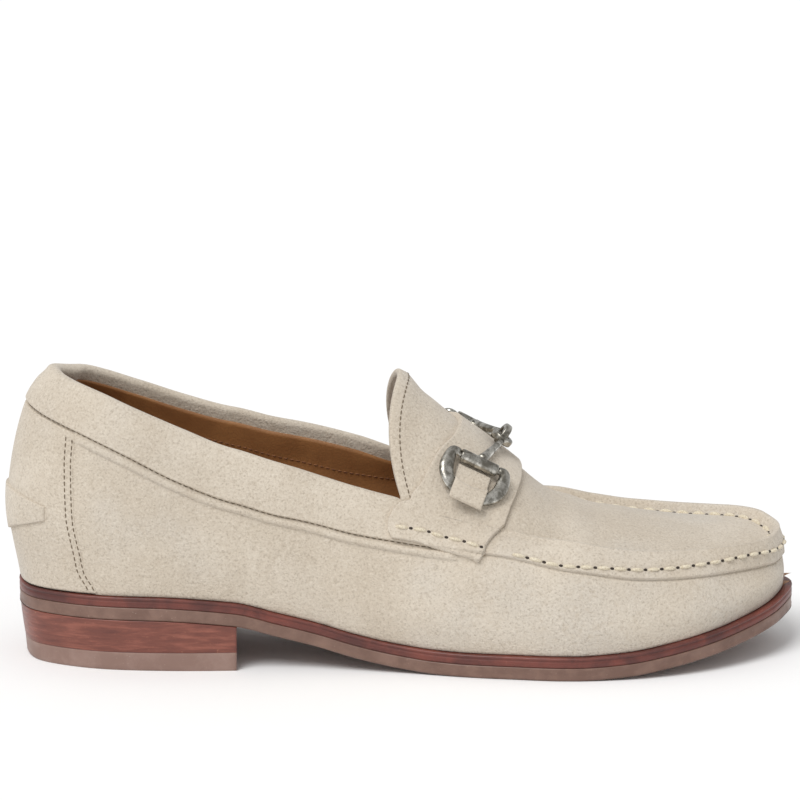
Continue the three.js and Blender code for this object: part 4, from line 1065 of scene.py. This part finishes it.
def makeLining():
    form = upperForm
    top = topPoint(ringTurns)[:, 0]
    rate = np.linalg.norm(wallPoint(ringTurns, 3.0) - wallPoint(ringTurns, 2.8), axis=-1) / 0.2
    throat = shoe["throatPlace"]
    isOpen = 1 - ease(throat - 0.01, throat + 0.01, placeOf(top))
    high = 3 - (form["bindingDrop"] / rate) * isOpen
    share = np.linspace(0, 1, 30)[None]
    levels = high[:, None] * share
    turnGrid = np.broadcast_to(ringTurns[:, None], levels.shape)
    wall = innerWall(turnGrid, levels, 0.25)
    angles = closedAngles[3:]
    angleGrid, laneGrid = np.broadcast_arrays(angles[:, None], apronLanes[None])
    reach = slice(len(openAngles) + 2, len(sideAngles))
    under = underApron(angleGrid, laneGrid, (wall[reach, -1], wall[::-1][reach, -1]), 0.25)
    pieces = [gridPiece("lining_leather_sheet", wall), gridPiece("e", under)]
    piece = joined("lining_leather_sheet", pieces)
    modified(piece, "SOLIDIFY", thickness=0.0003, offset=0)
    finished(piece, materials["lining"])


# Laid-on leather

counterForm = {"thickness": 1.05, "round": 0.7}


def seamAngle(x):
    end = soleEnd - shoe["lipSetBack"]
    return float(angleOf((x - shoe["seamSetIn"]) / (end - shoe["seamSetIn"])))


def backGrid(end, columns, lanesAt, count):
    turns = mix(-end, end, crowded(columns, 1.3))
    turn = np.where(turns < 0, -turns, turnRound - turns)
    low, high = lanesAt(turn)
    levels = mix(low[:, None], high[:, None], crowded(count, 1.3)[None])
    angles = np.broadcast_to(np.abs(turns)[:, None], levels.shape)
    return angles, np.where(turns[:, None] < 0, levels, 10 - levels)


def makeCounter():
    spots = 2 * crowded(121, 1.3) - 1
    turn = np.abs(spots) * seamAngle(relief["counterReach"])
    levels = mix(0.005, nearSeam(turn, -0.4)[:, None], crowded(61, 1.3)[None])
    angles = np.abs(spots)[:, None] * counterTurn(levels)
    lanes = np.where(spots[:, None] < 0, levels, 10 - levels)
    piece = laid("heel_counter_suede", angles, lanes, -relief["counterStep"], counterForm["thickness"], counterForm["round"])
    finished(piece, materials["suede"], ["heel_counter"])


tabForm = {
    "reach": 16, "thickness": 1.0, "round": 0.45,
    "top": 0.455, "endTop": 0.4, "bottom": 0.225, "endBottom": 0.335,
}


def levelAt(turn, height):
    low, high = np.zeros_like(turn), np.full_like(turn, 3)
    for _ in range(24):
        half = (low + high) / 2
        below = wallPoint(turn, half)[..., 2] < height
        low, high = np.where(below, half, low), np.where(below, high, half)
    return low


def makeTab():
    form = tabForm
    start = shoe["backSetIn"]
    end = float(angleOf((form["reach"] - start) / (soleEnd - shoe["bulgeSetBack"] - start)))

    def lanesAt(turn):
        share = np.minimum(turn, turnRound - turn) / end
        top = seat(0) + shoe["collarHeight"] * mix(form["top"], form["endTop"], share ** 2)
        bottom = seat(0) + shoe["collarHeight"] * mix(form["bottom"], form["endBottom"], share)
        return levelAt(turn, bottom), levelAt(turn, top)

    angles, lanes = backGrid(end, 101, lanesAt, 31)
    piece = laid("back_tab_suede", angles, lanes, 0.12, form["thickness"], form["round"])
    finished(piece, materials["suede"], ["back_tab"])


# Saddle strap: across 0 its sewn edge and 1 the crest, back and front along the sole

strapForm = {
    "gap": 0.6, "thickness": 1.5, "round": 0.5,
    "ridgeFrom": 0.3, "ridgeTo": 0.36, "flapShare": 0.1, "foldWidth": 0.7,
}
strapRows = rows(
    "across back front",
    (0, 0.482, 0.602), (0.15, 0.479, 0.607), (0.3, 0.485, 0.614), (0.36, 0.5, 0.619),
    (0.44, 0.525, 0.625), (0.571, 0.542, 0.634), (0.776, 0.56, 0.642), (1, 0.565, 0.644),
)
strapBack = columnCurve(strapRows, "back", "across")
strapFront = columnCurve(strapRows, "front", "across")


def strapPlace(across, along, side):
    across, along = np.broadcast_arrays(np.asarray(across, float), np.asarray(along, float))
    form = strapForm
    place = mix(strapBack(across), strapFront(across), along)
    angle = angleOf((xOf(place) - topStart) / (topEnd - topStart))
    turn = angle if side < 0 else turnRound - angle
    high = 4 + (across - form["ridgeTo"]) / (1 - form["ridgeTo"])
    ridge = 3 + (across - form["ridgeFrom"]) / (form["ridgeTo"] - form["ridgeFrom"])
    share = mix(form["flapShare"], 1, across / form["ridgeFrom"])
    band = mix(nearSeam(turn, form["foldWidth"]), 3, share)
    lane = np.where(across >= form["ridgeTo"], high, np.where(across >= form["ridgeFrom"], ridge, band))
    return angle, np.where(side < 0, lane, 10 - lane)


flapRows = rows(
    "along low",
    (0, 0.035), (0.06, -0.02), (0.3, -0.02), (0.49, -0.055), (0.67, -0.07),
    (0.86, -0.085), (0.95, -0.1), (1, -0.05),
)
flapLow = columnCurve(flapRows, "low")


def makeStrap():
    form = strapForm
    half = np.concatenate([np.linspace(0, 0.36, 50), np.linspace(0.36, 1, 50)[1:]])
    along = crowded(61, 1.4)
    angles, lanes = [], []
    for side, spots in ((-1, half), (1, half[-2::-1])):
        hang = flapLow(along)[None] * clamp(1 - spots[:, None] / form["ridgeFrom"])
        angle, lane = strapPlace(spots[:, None] + hang, along[None], side)
        angles.append(angle)
        lanes.append(lane)
    angles, lanes = np.concatenate(angles), np.concatenate(lanes)
    piece = laid("saddle_strap_suede", angles, lanes, 0.2, form["thickness"] + 0.3, form["round"])
    finished(piece, materials["suede"], ["saddle_strap"])


# Bit: two rings that lean on the strap, their barrels, and two hooked eyes

bitForm = {
    "barrelLength": 15, "barrelRadius": 2.4, "barrelGap": 0.8, "pinRadius": 1,
    "ringHalfWidth": 2.1, "ringHalfThickness": 1.3, "ringDepth": 14.8, "ringSpread": 11.2,
    "hornRise": 0.4, "barRadius": 1.9, "eyeRadius": 3.1, "eyeRodRadius": 1.0,
    "barrelAcross": 0.585, "barrelAlong": 0.42, "eyeAlong": 0.56,
    "keeperWidth": 13.2, "keeperEnd": 1.4, "keeperThickness": 1.2,
}
bowRows = rows("out down", (0, 1), (0.31, 0.975), (0.68, 0.835), (0.95, 0.55), (1, 0.26))


def strapSurface(across, along, side, lift=0.0):
    angle, lane = strapPlace(across, along, side)
    way = skinNormal(angle, lane)
    base = skinPoint(angle, lane)
    base[..., 2] += np.where((lane > 3) & (lane < 7), ridgeLift(lane, base[..., 0]), 0)
    return base + way * lift, way


def strapSpots(side, rowsCount=141, columns=101):
    across = np.linspace(strapForm["ridgeFrom"] - 0.1, 1, rowsCount)[:, None]
    along = np.linspace(-0.1, 1.1, columns)[None]
    at, way = strapSurface(across, along, side, strapForm["gap"] + strapForm["thickness"])
    return at.reshape(-1, 3), way.reshape(-1, 3)


def overStrap(points, spots):
    at, way = spots
    flat = points.reshape(-1, 3)
    nearest = np.concatenate([
        np.argmin(((part[:, None] - at[None]) ** 2).sum(-1), 1) for part in np.array_split(flat, len(flat) // 400 + 1)
    ])
    height = ((flat - at[nearest]) * way[nearest]).sum(-1)
    foot = flat - way[nearest] * height[:, None]
    return height.reshape(points.shape[:-1]), foot.reshape(points.shape), way[nearest].reshape(points.shape)


def ringPath():
    form = bitForm
    half = form["barrelLength"] / 2
    gap = shoe["fitGap"]
    horn = [(half + gap, 0), (half + gap + form["pinRadius"], -form["hornRise"])]
    horn.append((form["ringSpread"] - form["hornRise"] * 1.5, -form["hornRise"] / 2))
    bow = list(zip(bowRows["out"] * form["ringSpread"], bowRows["down"] * form["ringDepth"]))
    side = horn + bow[:0:-1]
    pin = [(-half / 3, 0), (half / 3, 0)]
    other = [(-a, b) for a, b in side[::-1]]
    return np.array(side + [(0, form["ringDepth"])] + other + pin)


def bitHalf(side):
    form = bitForm
    spots = strapSpots(side)
    place = lambda along: strapSurface(form["barrelAcross"], along, side)[0]
    middle = place(form["barrelAlong"])
    forward = unit(place(form["barrelAlong"] + 0.1) - middle)
    lift = form["barrelGap"] + form["barrelRadius"]
    ends = []
    for way in (-1, 1):
        _, foot, out = overStrap((middle + forward * way * form["barrelLength"] / 2)[None], spots)
        ends.append((foot + out * lift)[0])
    barrel = (ends[0] + ends[1]) / 2
    along = unit(ends[1] - ends[0])
    steep = np.array([0, 0, -1.0])
    steep = unit(steep - along * (steep @ along))
    flat = unit(np.cross(along, steep))
    flat = flat if np.sign(flat[1]) == side else -flat
    path = ringPath()
    path = path[path[:, 1] > 2 * form["barrelRadius"]]
    low, high = 0.0, math.pi / 2
    for _ in range(14):
        lean = (low + high) / 2
        down = steep * math.cos(lean) + flat * math.sin(lean)
        points = barrel + path[:, :1] * along + path[:, 1:] * down
        isClear = (overStrap(points, spots)[0] > shoe["fitGap"] + form["ringHalfThickness"]).all()
        low, high = (low, lean) if isClear else (lean, high)
    down = steep * math.cos(high) + flat * math.sin(high)
    out = unit(np.cross(along, down))
    out = out if out[2] > 0 else -out
    return {"side": side, "spots": spots, "barrel": barrel, "along": along, "down": down, "out": out}


def sweep(name, path, sideways, upward, halfWidth, halfThickness, isClosed, square=2.0, corners=28):
    turn = np.linspace(0, turnRound, corners + 1)
    cosine, sine = np.cos(turn), np.sin(turn)
    wide = np.sign(cosine) * np.abs(cosine) ** (2 / square)
    tall = np.sign(sine) * np.abs(sine) ** (2 / square)
    points = path[:, None] + sideways[:, None] * (halfWidth[:, None] * wide)[..., None]
    points = points + upward[:, None] * (halfThickness[:, None] * tall)[..., None]
    if isClosed:
        points = np.concatenate([points, points[:1]])
    return gridPiece(name, points)


def closedCurve(knots, count):
    total = len(knots)
    gaps = np.sqrt(np.linalg.norm(np.roll(knots, -1, 0) - knots, axis=1))
    made = []
    for i in range(total):
        a, b, c, d = knots[i - 1], knots[i], knots[(i + 1) % total], knots[(i + 2) % total]
        before, here, after = gaps[i - 1], gaps[i], gaps[(i + 1) % total]
        out = ((b - a) / before - (c - a) / (before + here) + (c - b) / here) * here
        into = ((c - b) / here - (d - b) / (here + after) + (d - c) / after) * here
        share = np.linspace(0, 1, count, endpoint=False)[:, None]
        made.append(hermite(b, c, out, into, 1, share))
    return np.concatenate(made)


def makeRing(half, name):
    form = bitForm
    flat = closedCurve(ringPath(), 12)
    path = half["barrel"] + flat[:, :1] * half["along"] + flat[:, 1:] * half["down"]
    run = unit(np.roll(path, -1, 0) - np.roll(path, 1, 0))
    out = np.broadcast_to(half["out"], path.shape)
    wide = unit(np.cross(out, run))
    past = np.abs(flat[:, 0]) - form["barrelLength"] / 2 - shoe["fitGap"]
    full = ease(0, form["pinRadius"], np.maximum(past, flat[:, 1] - form["barrelRadius"]))
    arm = flat[:, 1] / form["ringDepth"]
    swell = np.sin(math.pi * clamp(arm)) ** 0.8
    fat = form["ringHalfWidth"] * (0.85 + 0.45 * swell)
    width = mix(form["pinRadius"], fat, full)
    thick = mix(form["pinRadius"], form["ringHalfThickness"] * (1 + 0.2 * swell), full)
    piece = joined(name, [sweep(name, path, wide, out, width, thick, True, 2.15, 36)])
    side = "lateral" if half["side"] < 0 else "medial"
    finished(piece, materials["metal"], ["ring_" + side])


def bitEyes(outer, inner):
    form = bitForm
    play = form["eyeRadius"] - 2 * form["eyeRodRadius"] - shoe["fitGap"]
    lift = strapForm["gap"] + strapForm["thickness"] + shoe["fitGap"] + form["eyeRadius"] + form["eyeRodRadius"] - play
    middle, out = strapSurface(1, form["eyeAlong"], -1, lift)
    across = unit(inner["barrel"] - outer["barrel"])
    out = unit(out - across * (out @ across))
    centre = lambda side, more: middle + across * side * form["eyeRadius"] / 2 + out * more
    return (
        {"centre": centre(-1, 0), "across": across, "axis": out, "out": out},
        {"centre": centre(1, play), "across": across, "axis": np.cross(across, out), "out": out},
    )


def lathe(name, start, end, steps):
    way = unit(end - start)
    sideways = unit(np.cross(way, [0.3, 0.2, 1.0]))
    upward = np.cross(way, sideways)
    path = np.array([start + (end - start) * share for share, _ in steps])
    radius = np.array([r for _, r in steps])
    count = len(steps)
    return sweep(name, path, np.tile(sideways, (count, 1)), np.tile(upward, (count, 1)), radius, radius, False)


def makeBar(half, eye, name):
    form = bitForm
    reach = form["barrelLength"] / 2
    start, end = half["barrel"] - half["along"] * reach, half["barrel"] + half["along"] * reach
    radius, bore = form["barrelRadius"], form["pinRadius"] + shoe["fitGap"]
    steps = [(0, bore), (0, radius * 0.75), (0.012, radius * 0.9), (0.03, radius * 0.97), (0.06, radius)]
    steps += [(0.3, radius), (0.5, radius), (0.7, radius)]
    steps += [(1 - at, r) for at, r in steps[:5][::-1]] + [(0, bore)]
    barrel = lathe(name, start, end, steps)
    tip = eye["centre"] + eye["across"] * half["side"] * form["eyeRadius"]
    inward = unit(tip - half["barrel"])
    base = half["barrel"] + inward * (bore + radius) / 2
    rodSteps = [(0, 0.01), (0, form["barRadius"] * 1.25), (0.12, form["barRadius"] * 1.05)]
    rodSteps += [(0.3, form["barRadius"] * 0.9), (0.6, form["eyeRodRadius"] * 1.3)]
    rodSteps += [(0.9, form["eyeRodRadius"] * 1.15), (1, form["eyeRodRadius"] * 1.0), (1, 0.01)]
    rod = lathe(name + "_rod", base, tip, rodSteps)
    turn = np.linspace(0, turnRound, 49)[:-1]
    sideways = np.cross(eye["axis"], eye["across"])
    spoke = np.cos(turn)[:, None] * eye["across"] + np.sin(turn)[:, None] * sideways
    path = eye["centre"] + form["eyeRadius"] * spoke
    count = np.full(len(turn), form["eyeRodRadius"])
    axes = np.tile(eye["axis"], (len(turn), 1))
    loop = sweep(name + "_eye", path, spoke, axes, count * 1.15, count * 1.45, True, 3.4, 24)
    for part in (barrel, rod, loop):
        joined(part.name, [part])
    piece = joined(name, [barrel, rod, loop], 0)
    side = "lateral" if half["side"] < 0 else "medial"
    finished(piece, materials["metal"], ["bar_" + side])


def makeKeeper(half, name):
    form = bitForm
    bow = columnCurve(bowRows, "down", "out")
    end = form["ringDepth"] + form["ringHalfWidth"] + form["keeperEnd"]
    b = np.linspace(0.13, 1, 46)[:, None] * end
    a = mix(-form["keeperWidth"] / 2, form["keeperWidth"] / 2, crowded(41, 1.3))[None]
    a, b = np.broadcast_arrays(a, b)
    inner = form["ringDepth"] * bow(np.abs(a) / form["ringSpread"]) - form["ringHalfWidth"]
    rise = ease(inner - 3, inner - 0.6, b)
    points = half["barrel"] + a[..., None] * half["along"] + b[..., None] * half["down"]
    height, foot, out = overStrap(points, half["spots"])
    over = np.maximum(0, height + form["ringHalfThickness"]) * rise
    base = foot + out * (over + 0.15)[..., None]
    ends, sides = edgeGap(base)
    thick = np.minimum(rounded(ends, 0.5), rounded(sides, 0.5)) * form["keeperThickness"]
    top = base + out * (thick + 0.1)[..., None]
    rim = lambda grid: np.concatenate([grid[:-1, 0], grid[-1, :-1], grid[:0:-1, -1], grid[0, ::-1]])
    pieces = [
        gridPiece(name, top), gridPiece("f", base), gridPiece("g", np.stack([rim(top), rim(base)], 1)),
    ]
    side = "lateral" if half["side"] < 0 else "medial"
    finished(joined(name, pieces), materials["suede"], ["keeper_" + side])


# Stitches: one thread loop is modelled, then copied along a line

def evenly(points, ways, pitch, shifted=0.0):
    length = np.concatenate([[0], np.cumsum(np.linalg.norm(np.diff(points, axis=0), axis=1))])
    count = max(1, int(length[-1] / pitch))
    at = (np.arange(count) + 0.5 + shifted) * length[-1] / count
    pick = lambda values, where: np.stack([np.interp(where, length, values[:, k]) for k in range(3)], 1)
    run = unit(pick(points, at + pitch / 4) - pick(points, at - pitch / 4))
    return pick(points, at), run, unit(pick(ways, at))


def stitchShape(name, segments=8, rings=7):
    bpy.ops.object.select_all(action="DESELECT")
    bpy.ops.mesh.primitive_uv_sphere_add(segments=segments, ring_count=rings, radius=1)
    ball = bpy.context.object
    ball.name = name
    at = np.array([v.co[:] for v in ball.data.vertices])
    at = at[:, [2, 0, 1]]
    at[:, 0] = np.sign(at[:, 0]) * np.abs(at[:, 0]) ** 0.8
    at[:, 2] -= 0.55 * at[:, 0] ** 2
    faces = [tuple(face.vertices) for face in ball.data.polygons]
    bpy.data.objects.remove(ball)
    return at, faces


stitchAt, stitchFaces = stitchShape("stitch")


def stitchRow(name, lines, form, material):
    corners, faces = [], []
    for points, ways in lines:
        places, runs, outs = evenly(points, ways, form["pitch"], form.get("shifted", 0))
        sides = unit(np.cross(outs, runs))
        for place, run, side, out in zip(places, runs, sides, outs):
            local = stitchAt * [form["length"] / 2, form["width"] / 2, form["height"]]
            base = len(corners) * len(stitchAt)
            corners.append(place + local[:, :1] * run + local[:, 1:2] * side + (local[:, 2:] + form["lift"]) * out)
            faces += [tuple(base + k for k in face) for face in stitchFaces]
    mesh = bpy.data.meshes.new(name)
    mesh.from_pydata(toMetres(np.concatenate(corners)).tolist(), [], faces)
    piece = bpy.data.objects.new(name, mesh)
    bpy.context.scene.collection.objects.link(piece)
    active(piece)
    bpy.ops.object.mode_set(mode="EDIT")
    bpy.ops.mesh.select_all(action="SELECT")
    bpy.ops.mesh.normals_make_consistent(inside=False)
    bpy.ops.object.mode_set(mode="OBJECT")
    return finished(piece, material)


def wallLine(fromPlace, toPlace, distance, side, lift=0.0, count=240):
    x = xOf(np.linspace(fromPlace, toPlace, count))
    end = soleEnd - shoe["lipSetBack"]
    angle = angleOf((x - shoe["seamSetIn"]) / (end - shoe["seamSetIn"]))
    turn = angle if side < 0 else turnRound - angle
    level = nearSeam(turn, distance)
    return outside(angle, level if side < 0 else 10 - level, lift)


machineStitch = {"pitch": 2.3, "length": 1.85, "width": 0.5, "height": 0.28, "lift": 0.04}
handStitch = {"pitch": 6.2, "length": 5.0, "width": 1.4, "height": 0.95, "lift": 0.3}
# Sizes of the dark blobs set between hand stitches: painted shade standing in for the shadow inside the needle holes
paintedHoleForm = {"pitch": 6.2, "length": 1.5, "width": 1.0, "height": 0.3, "lift": 0.12, "shifted": 0.5}
lipRows = rows(
    "place level",
    (0.61, 2.12), (0.677, 2.11), (0.765, 2.28), (0.836, 2.37), (0.888, 2.47),
    (0.944, 2.57), (0.985, 2.5), (1, 2.5),
)
lipLine = columnCurve(lipRows, "level", "place")
flapSeamRows = rows(
    "along across",
    (0.05, 0.085), (0.35, 0.095), (0.53, 0.065), (0.75, 0.045), (0.96, 0.005), (1.1, -0.02),
)
flapSeam = columnCurve(flapSeamRows, "across")
liningRows = rows(
    "place level",
    (0.04, 2.0), (0.13, 2.02), (0.2, 2.21), (0.28, 2.28), (0.4, 2.2), (0.5, 2.25),
)
liningLine = columnCurve(liningRows, "level", "place")


def wallTurn(place, side):
    end = soleEnd - shoe["lipSetBack"]
    angle = angleOf(clamp((xOf(place) - shoe["seamSetIn"]) / (end - shoe["seamSetIn"])))
    return angle, angle if side < 0 else turnRound - angle


def acrossSide(lane, side):
    return lane if side < 0 else 10 - lane


def makeHandStitches():
    lip, inner, flap = [], [], []
    for side in (-1, 1):
        place = np.linspace(0.625, 0.998, 400)
        angle, turn = wallTurn(place, side)
        level = np.clip(lipLine(place), nearSeam(turn, 1.2), 2.75)
        lip.append(outside(angle, acrossSide(level, side)))
        x = np.linspace(xOf(0.66), topEnd - 0.05, 400)
        angle = angleOf((x - topStart) / (topEnd - topStart))
        inner.append(outside(angle, np.full_like(angle, acrossSide(4.02, side))))
        along = np.linspace(0.05, 0.96, 80)
        lift = 0.2 + strapForm["thickness"] + 0.25
        angle, lane = strapPlace(flapSeam(along), along, side)
        flap.append(outside(angle, lane, lift))
    for name, lines in (("apron", lip), ("apron_inner", inner), ("flap", flap)):
        stitchRow(name + "_stitches", lines, handStitch, materials["cream"])
        # Each row also gets dark blobs between its stitches: painted shade for the needle holes
        stitchRow(name + "_holes", lines, paintedHoleForm, materials["shadeInHoles"])


def makeMachineStitches():
    counter, lining = [], []
    collar = [wallLine(0.016, 0.56, 0.05, side, 0.1) for side in (-1, 1)]
    proud = counterForm["thickness"] - relief["counterStep"]
    for side in (-1, 1):
        for back in (1.1, 3.4):
            level = np.linspace(0.05, 1.9, 120)
            counter.append(outside(counterTurn(level, back), acrossSide(level, side), proud))
        place = np.linspace(0.04, 0.5, 240)
        angle, turn = wallTurn(place, side)
        level = liningLine(place)
        way = -skinNormal(angle, acrossSide(level, side))
        lining.append((innerWall(turn, level, 0.42), way))
    tongue = [outside(np.full(80, throatAngle + 0.018), np.linspace(3.95, 6.05, 80))]
    stitchRow("collar_stitches", collar, machineStitch, materials["beige"])
    stitchRow("counter_stitches", counter, machineStitch, materials["beige"])
    stitchRow("tongue_stitches", tongue, machineStitch, materials["beige"])
    stitchRow("lining_stitches", lining, machineStitch, materials["tanThread"])


# Build everything

makeOutsole()
makeWelt()
makeHeel()
makeSock()
makeUpper()
makeLining()
makeCounter()
makeTab()
makeStrap()
outerBit, innerBit = bitHalf(-1), bitHalf(1)
outerEye, innerEye = bitEyes(outerBit, innerBit)
makeRing(outerBit, "ring_lateral_metal")
makeRing(innerBit, "ring_medial_metal")
makeBar(outerBit, outerEye, "bar_lateral_metal")
makeBar(innerBit, innerEye, "bar_medial_metal")
makeKeeper(outerBit, "keeper_lateral_suede")
makeKeeper(innerBit, "keeper_medial_suede")
makeHandStitches()
makeMachineStitches()


# Studio: floor, light and camera

studio = {
    "floorSize": 6.0,
    "worldLight": 0.6,
    "sunLight": 1.9,
    "sunSpread": math.radians(32),
    "azimuth": math.radians(1.5),
    "elevation": math.radians(16),
    "distance": 1.75,
    "lens": 209.8,
    "aimUp": 0.092,
    "aimRight": -0.0003,
}


def makeStudio():
    bpy.ops.mesh.primitive_plane_add(size=studio["floorSize"], location=(0, 0, 0))
    floor = bpy.context.object
    floor.name = "floor"
    paint = Paint("floor_white", roughness=0.9)
    paint.join(paint.shader.inputs["Base Color"], colour(250, 250, 250))
    floor.data.materials.append(paint.material)
    floor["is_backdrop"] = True
    scene = bpy.context.scene
    scene.view_settings.view_transform = "Standard"
    world = bpy.data.worlds.new("studio")
    scene.world = world
    world.use_nodes = True
    backdrop = world.node_tree.nodes["Background"]
    backdrop.inputs["Color"].default_value = (1, 1, 1, 1)
    backdrop.inputs["Strength"].default_value = studio["worldLight"]
    bpy.ops.object.light_add(type="SUN", location=(-1, -1, 2))
    sun = bpy.context.object
    sun.data.energy = studio["sunLight"]
    sun.data.angle = studio["sunSpread"]
    sun.rotation_euler = Vector((0.35, 0.55, -0.9)).to_track_quat("-Z", "Y").to_euler()


def makeCamera():
    azimuth, elevation = studio["azimuth"], studio["elevation"]
    flat = math.cos(elevation)
    forward = Vector((math.sin(azimuth) * flat, math.cos(azimuth) * flat, -math.sin(elevation)))
    right = Vector((math.cos(azimuth), -math.sin(azimuth), 0))
    up = right.cross(forward)
    bpy.ops.object.camera_add(location=-forward * studio["distance"])
    camera = bpy.context.object
    aim = up * studio["aimUp"] + right * studio["aimRight"] - camera.location
    camera.rotation_euler = aim.to_track_quat("-Z", "Y").to_euler()
    camera.data.lens = studio["lens"]
    camera.data.sensor_width = 36
    bpy.context.scene.camera = camera


makeStudio()
makeCamera()
low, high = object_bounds()
{"cad": [list(cadLow), list(cadHigh)], "visual": [list(low), list(high)]}
print("size", [round(value * 1000, 1) for value in high - low])
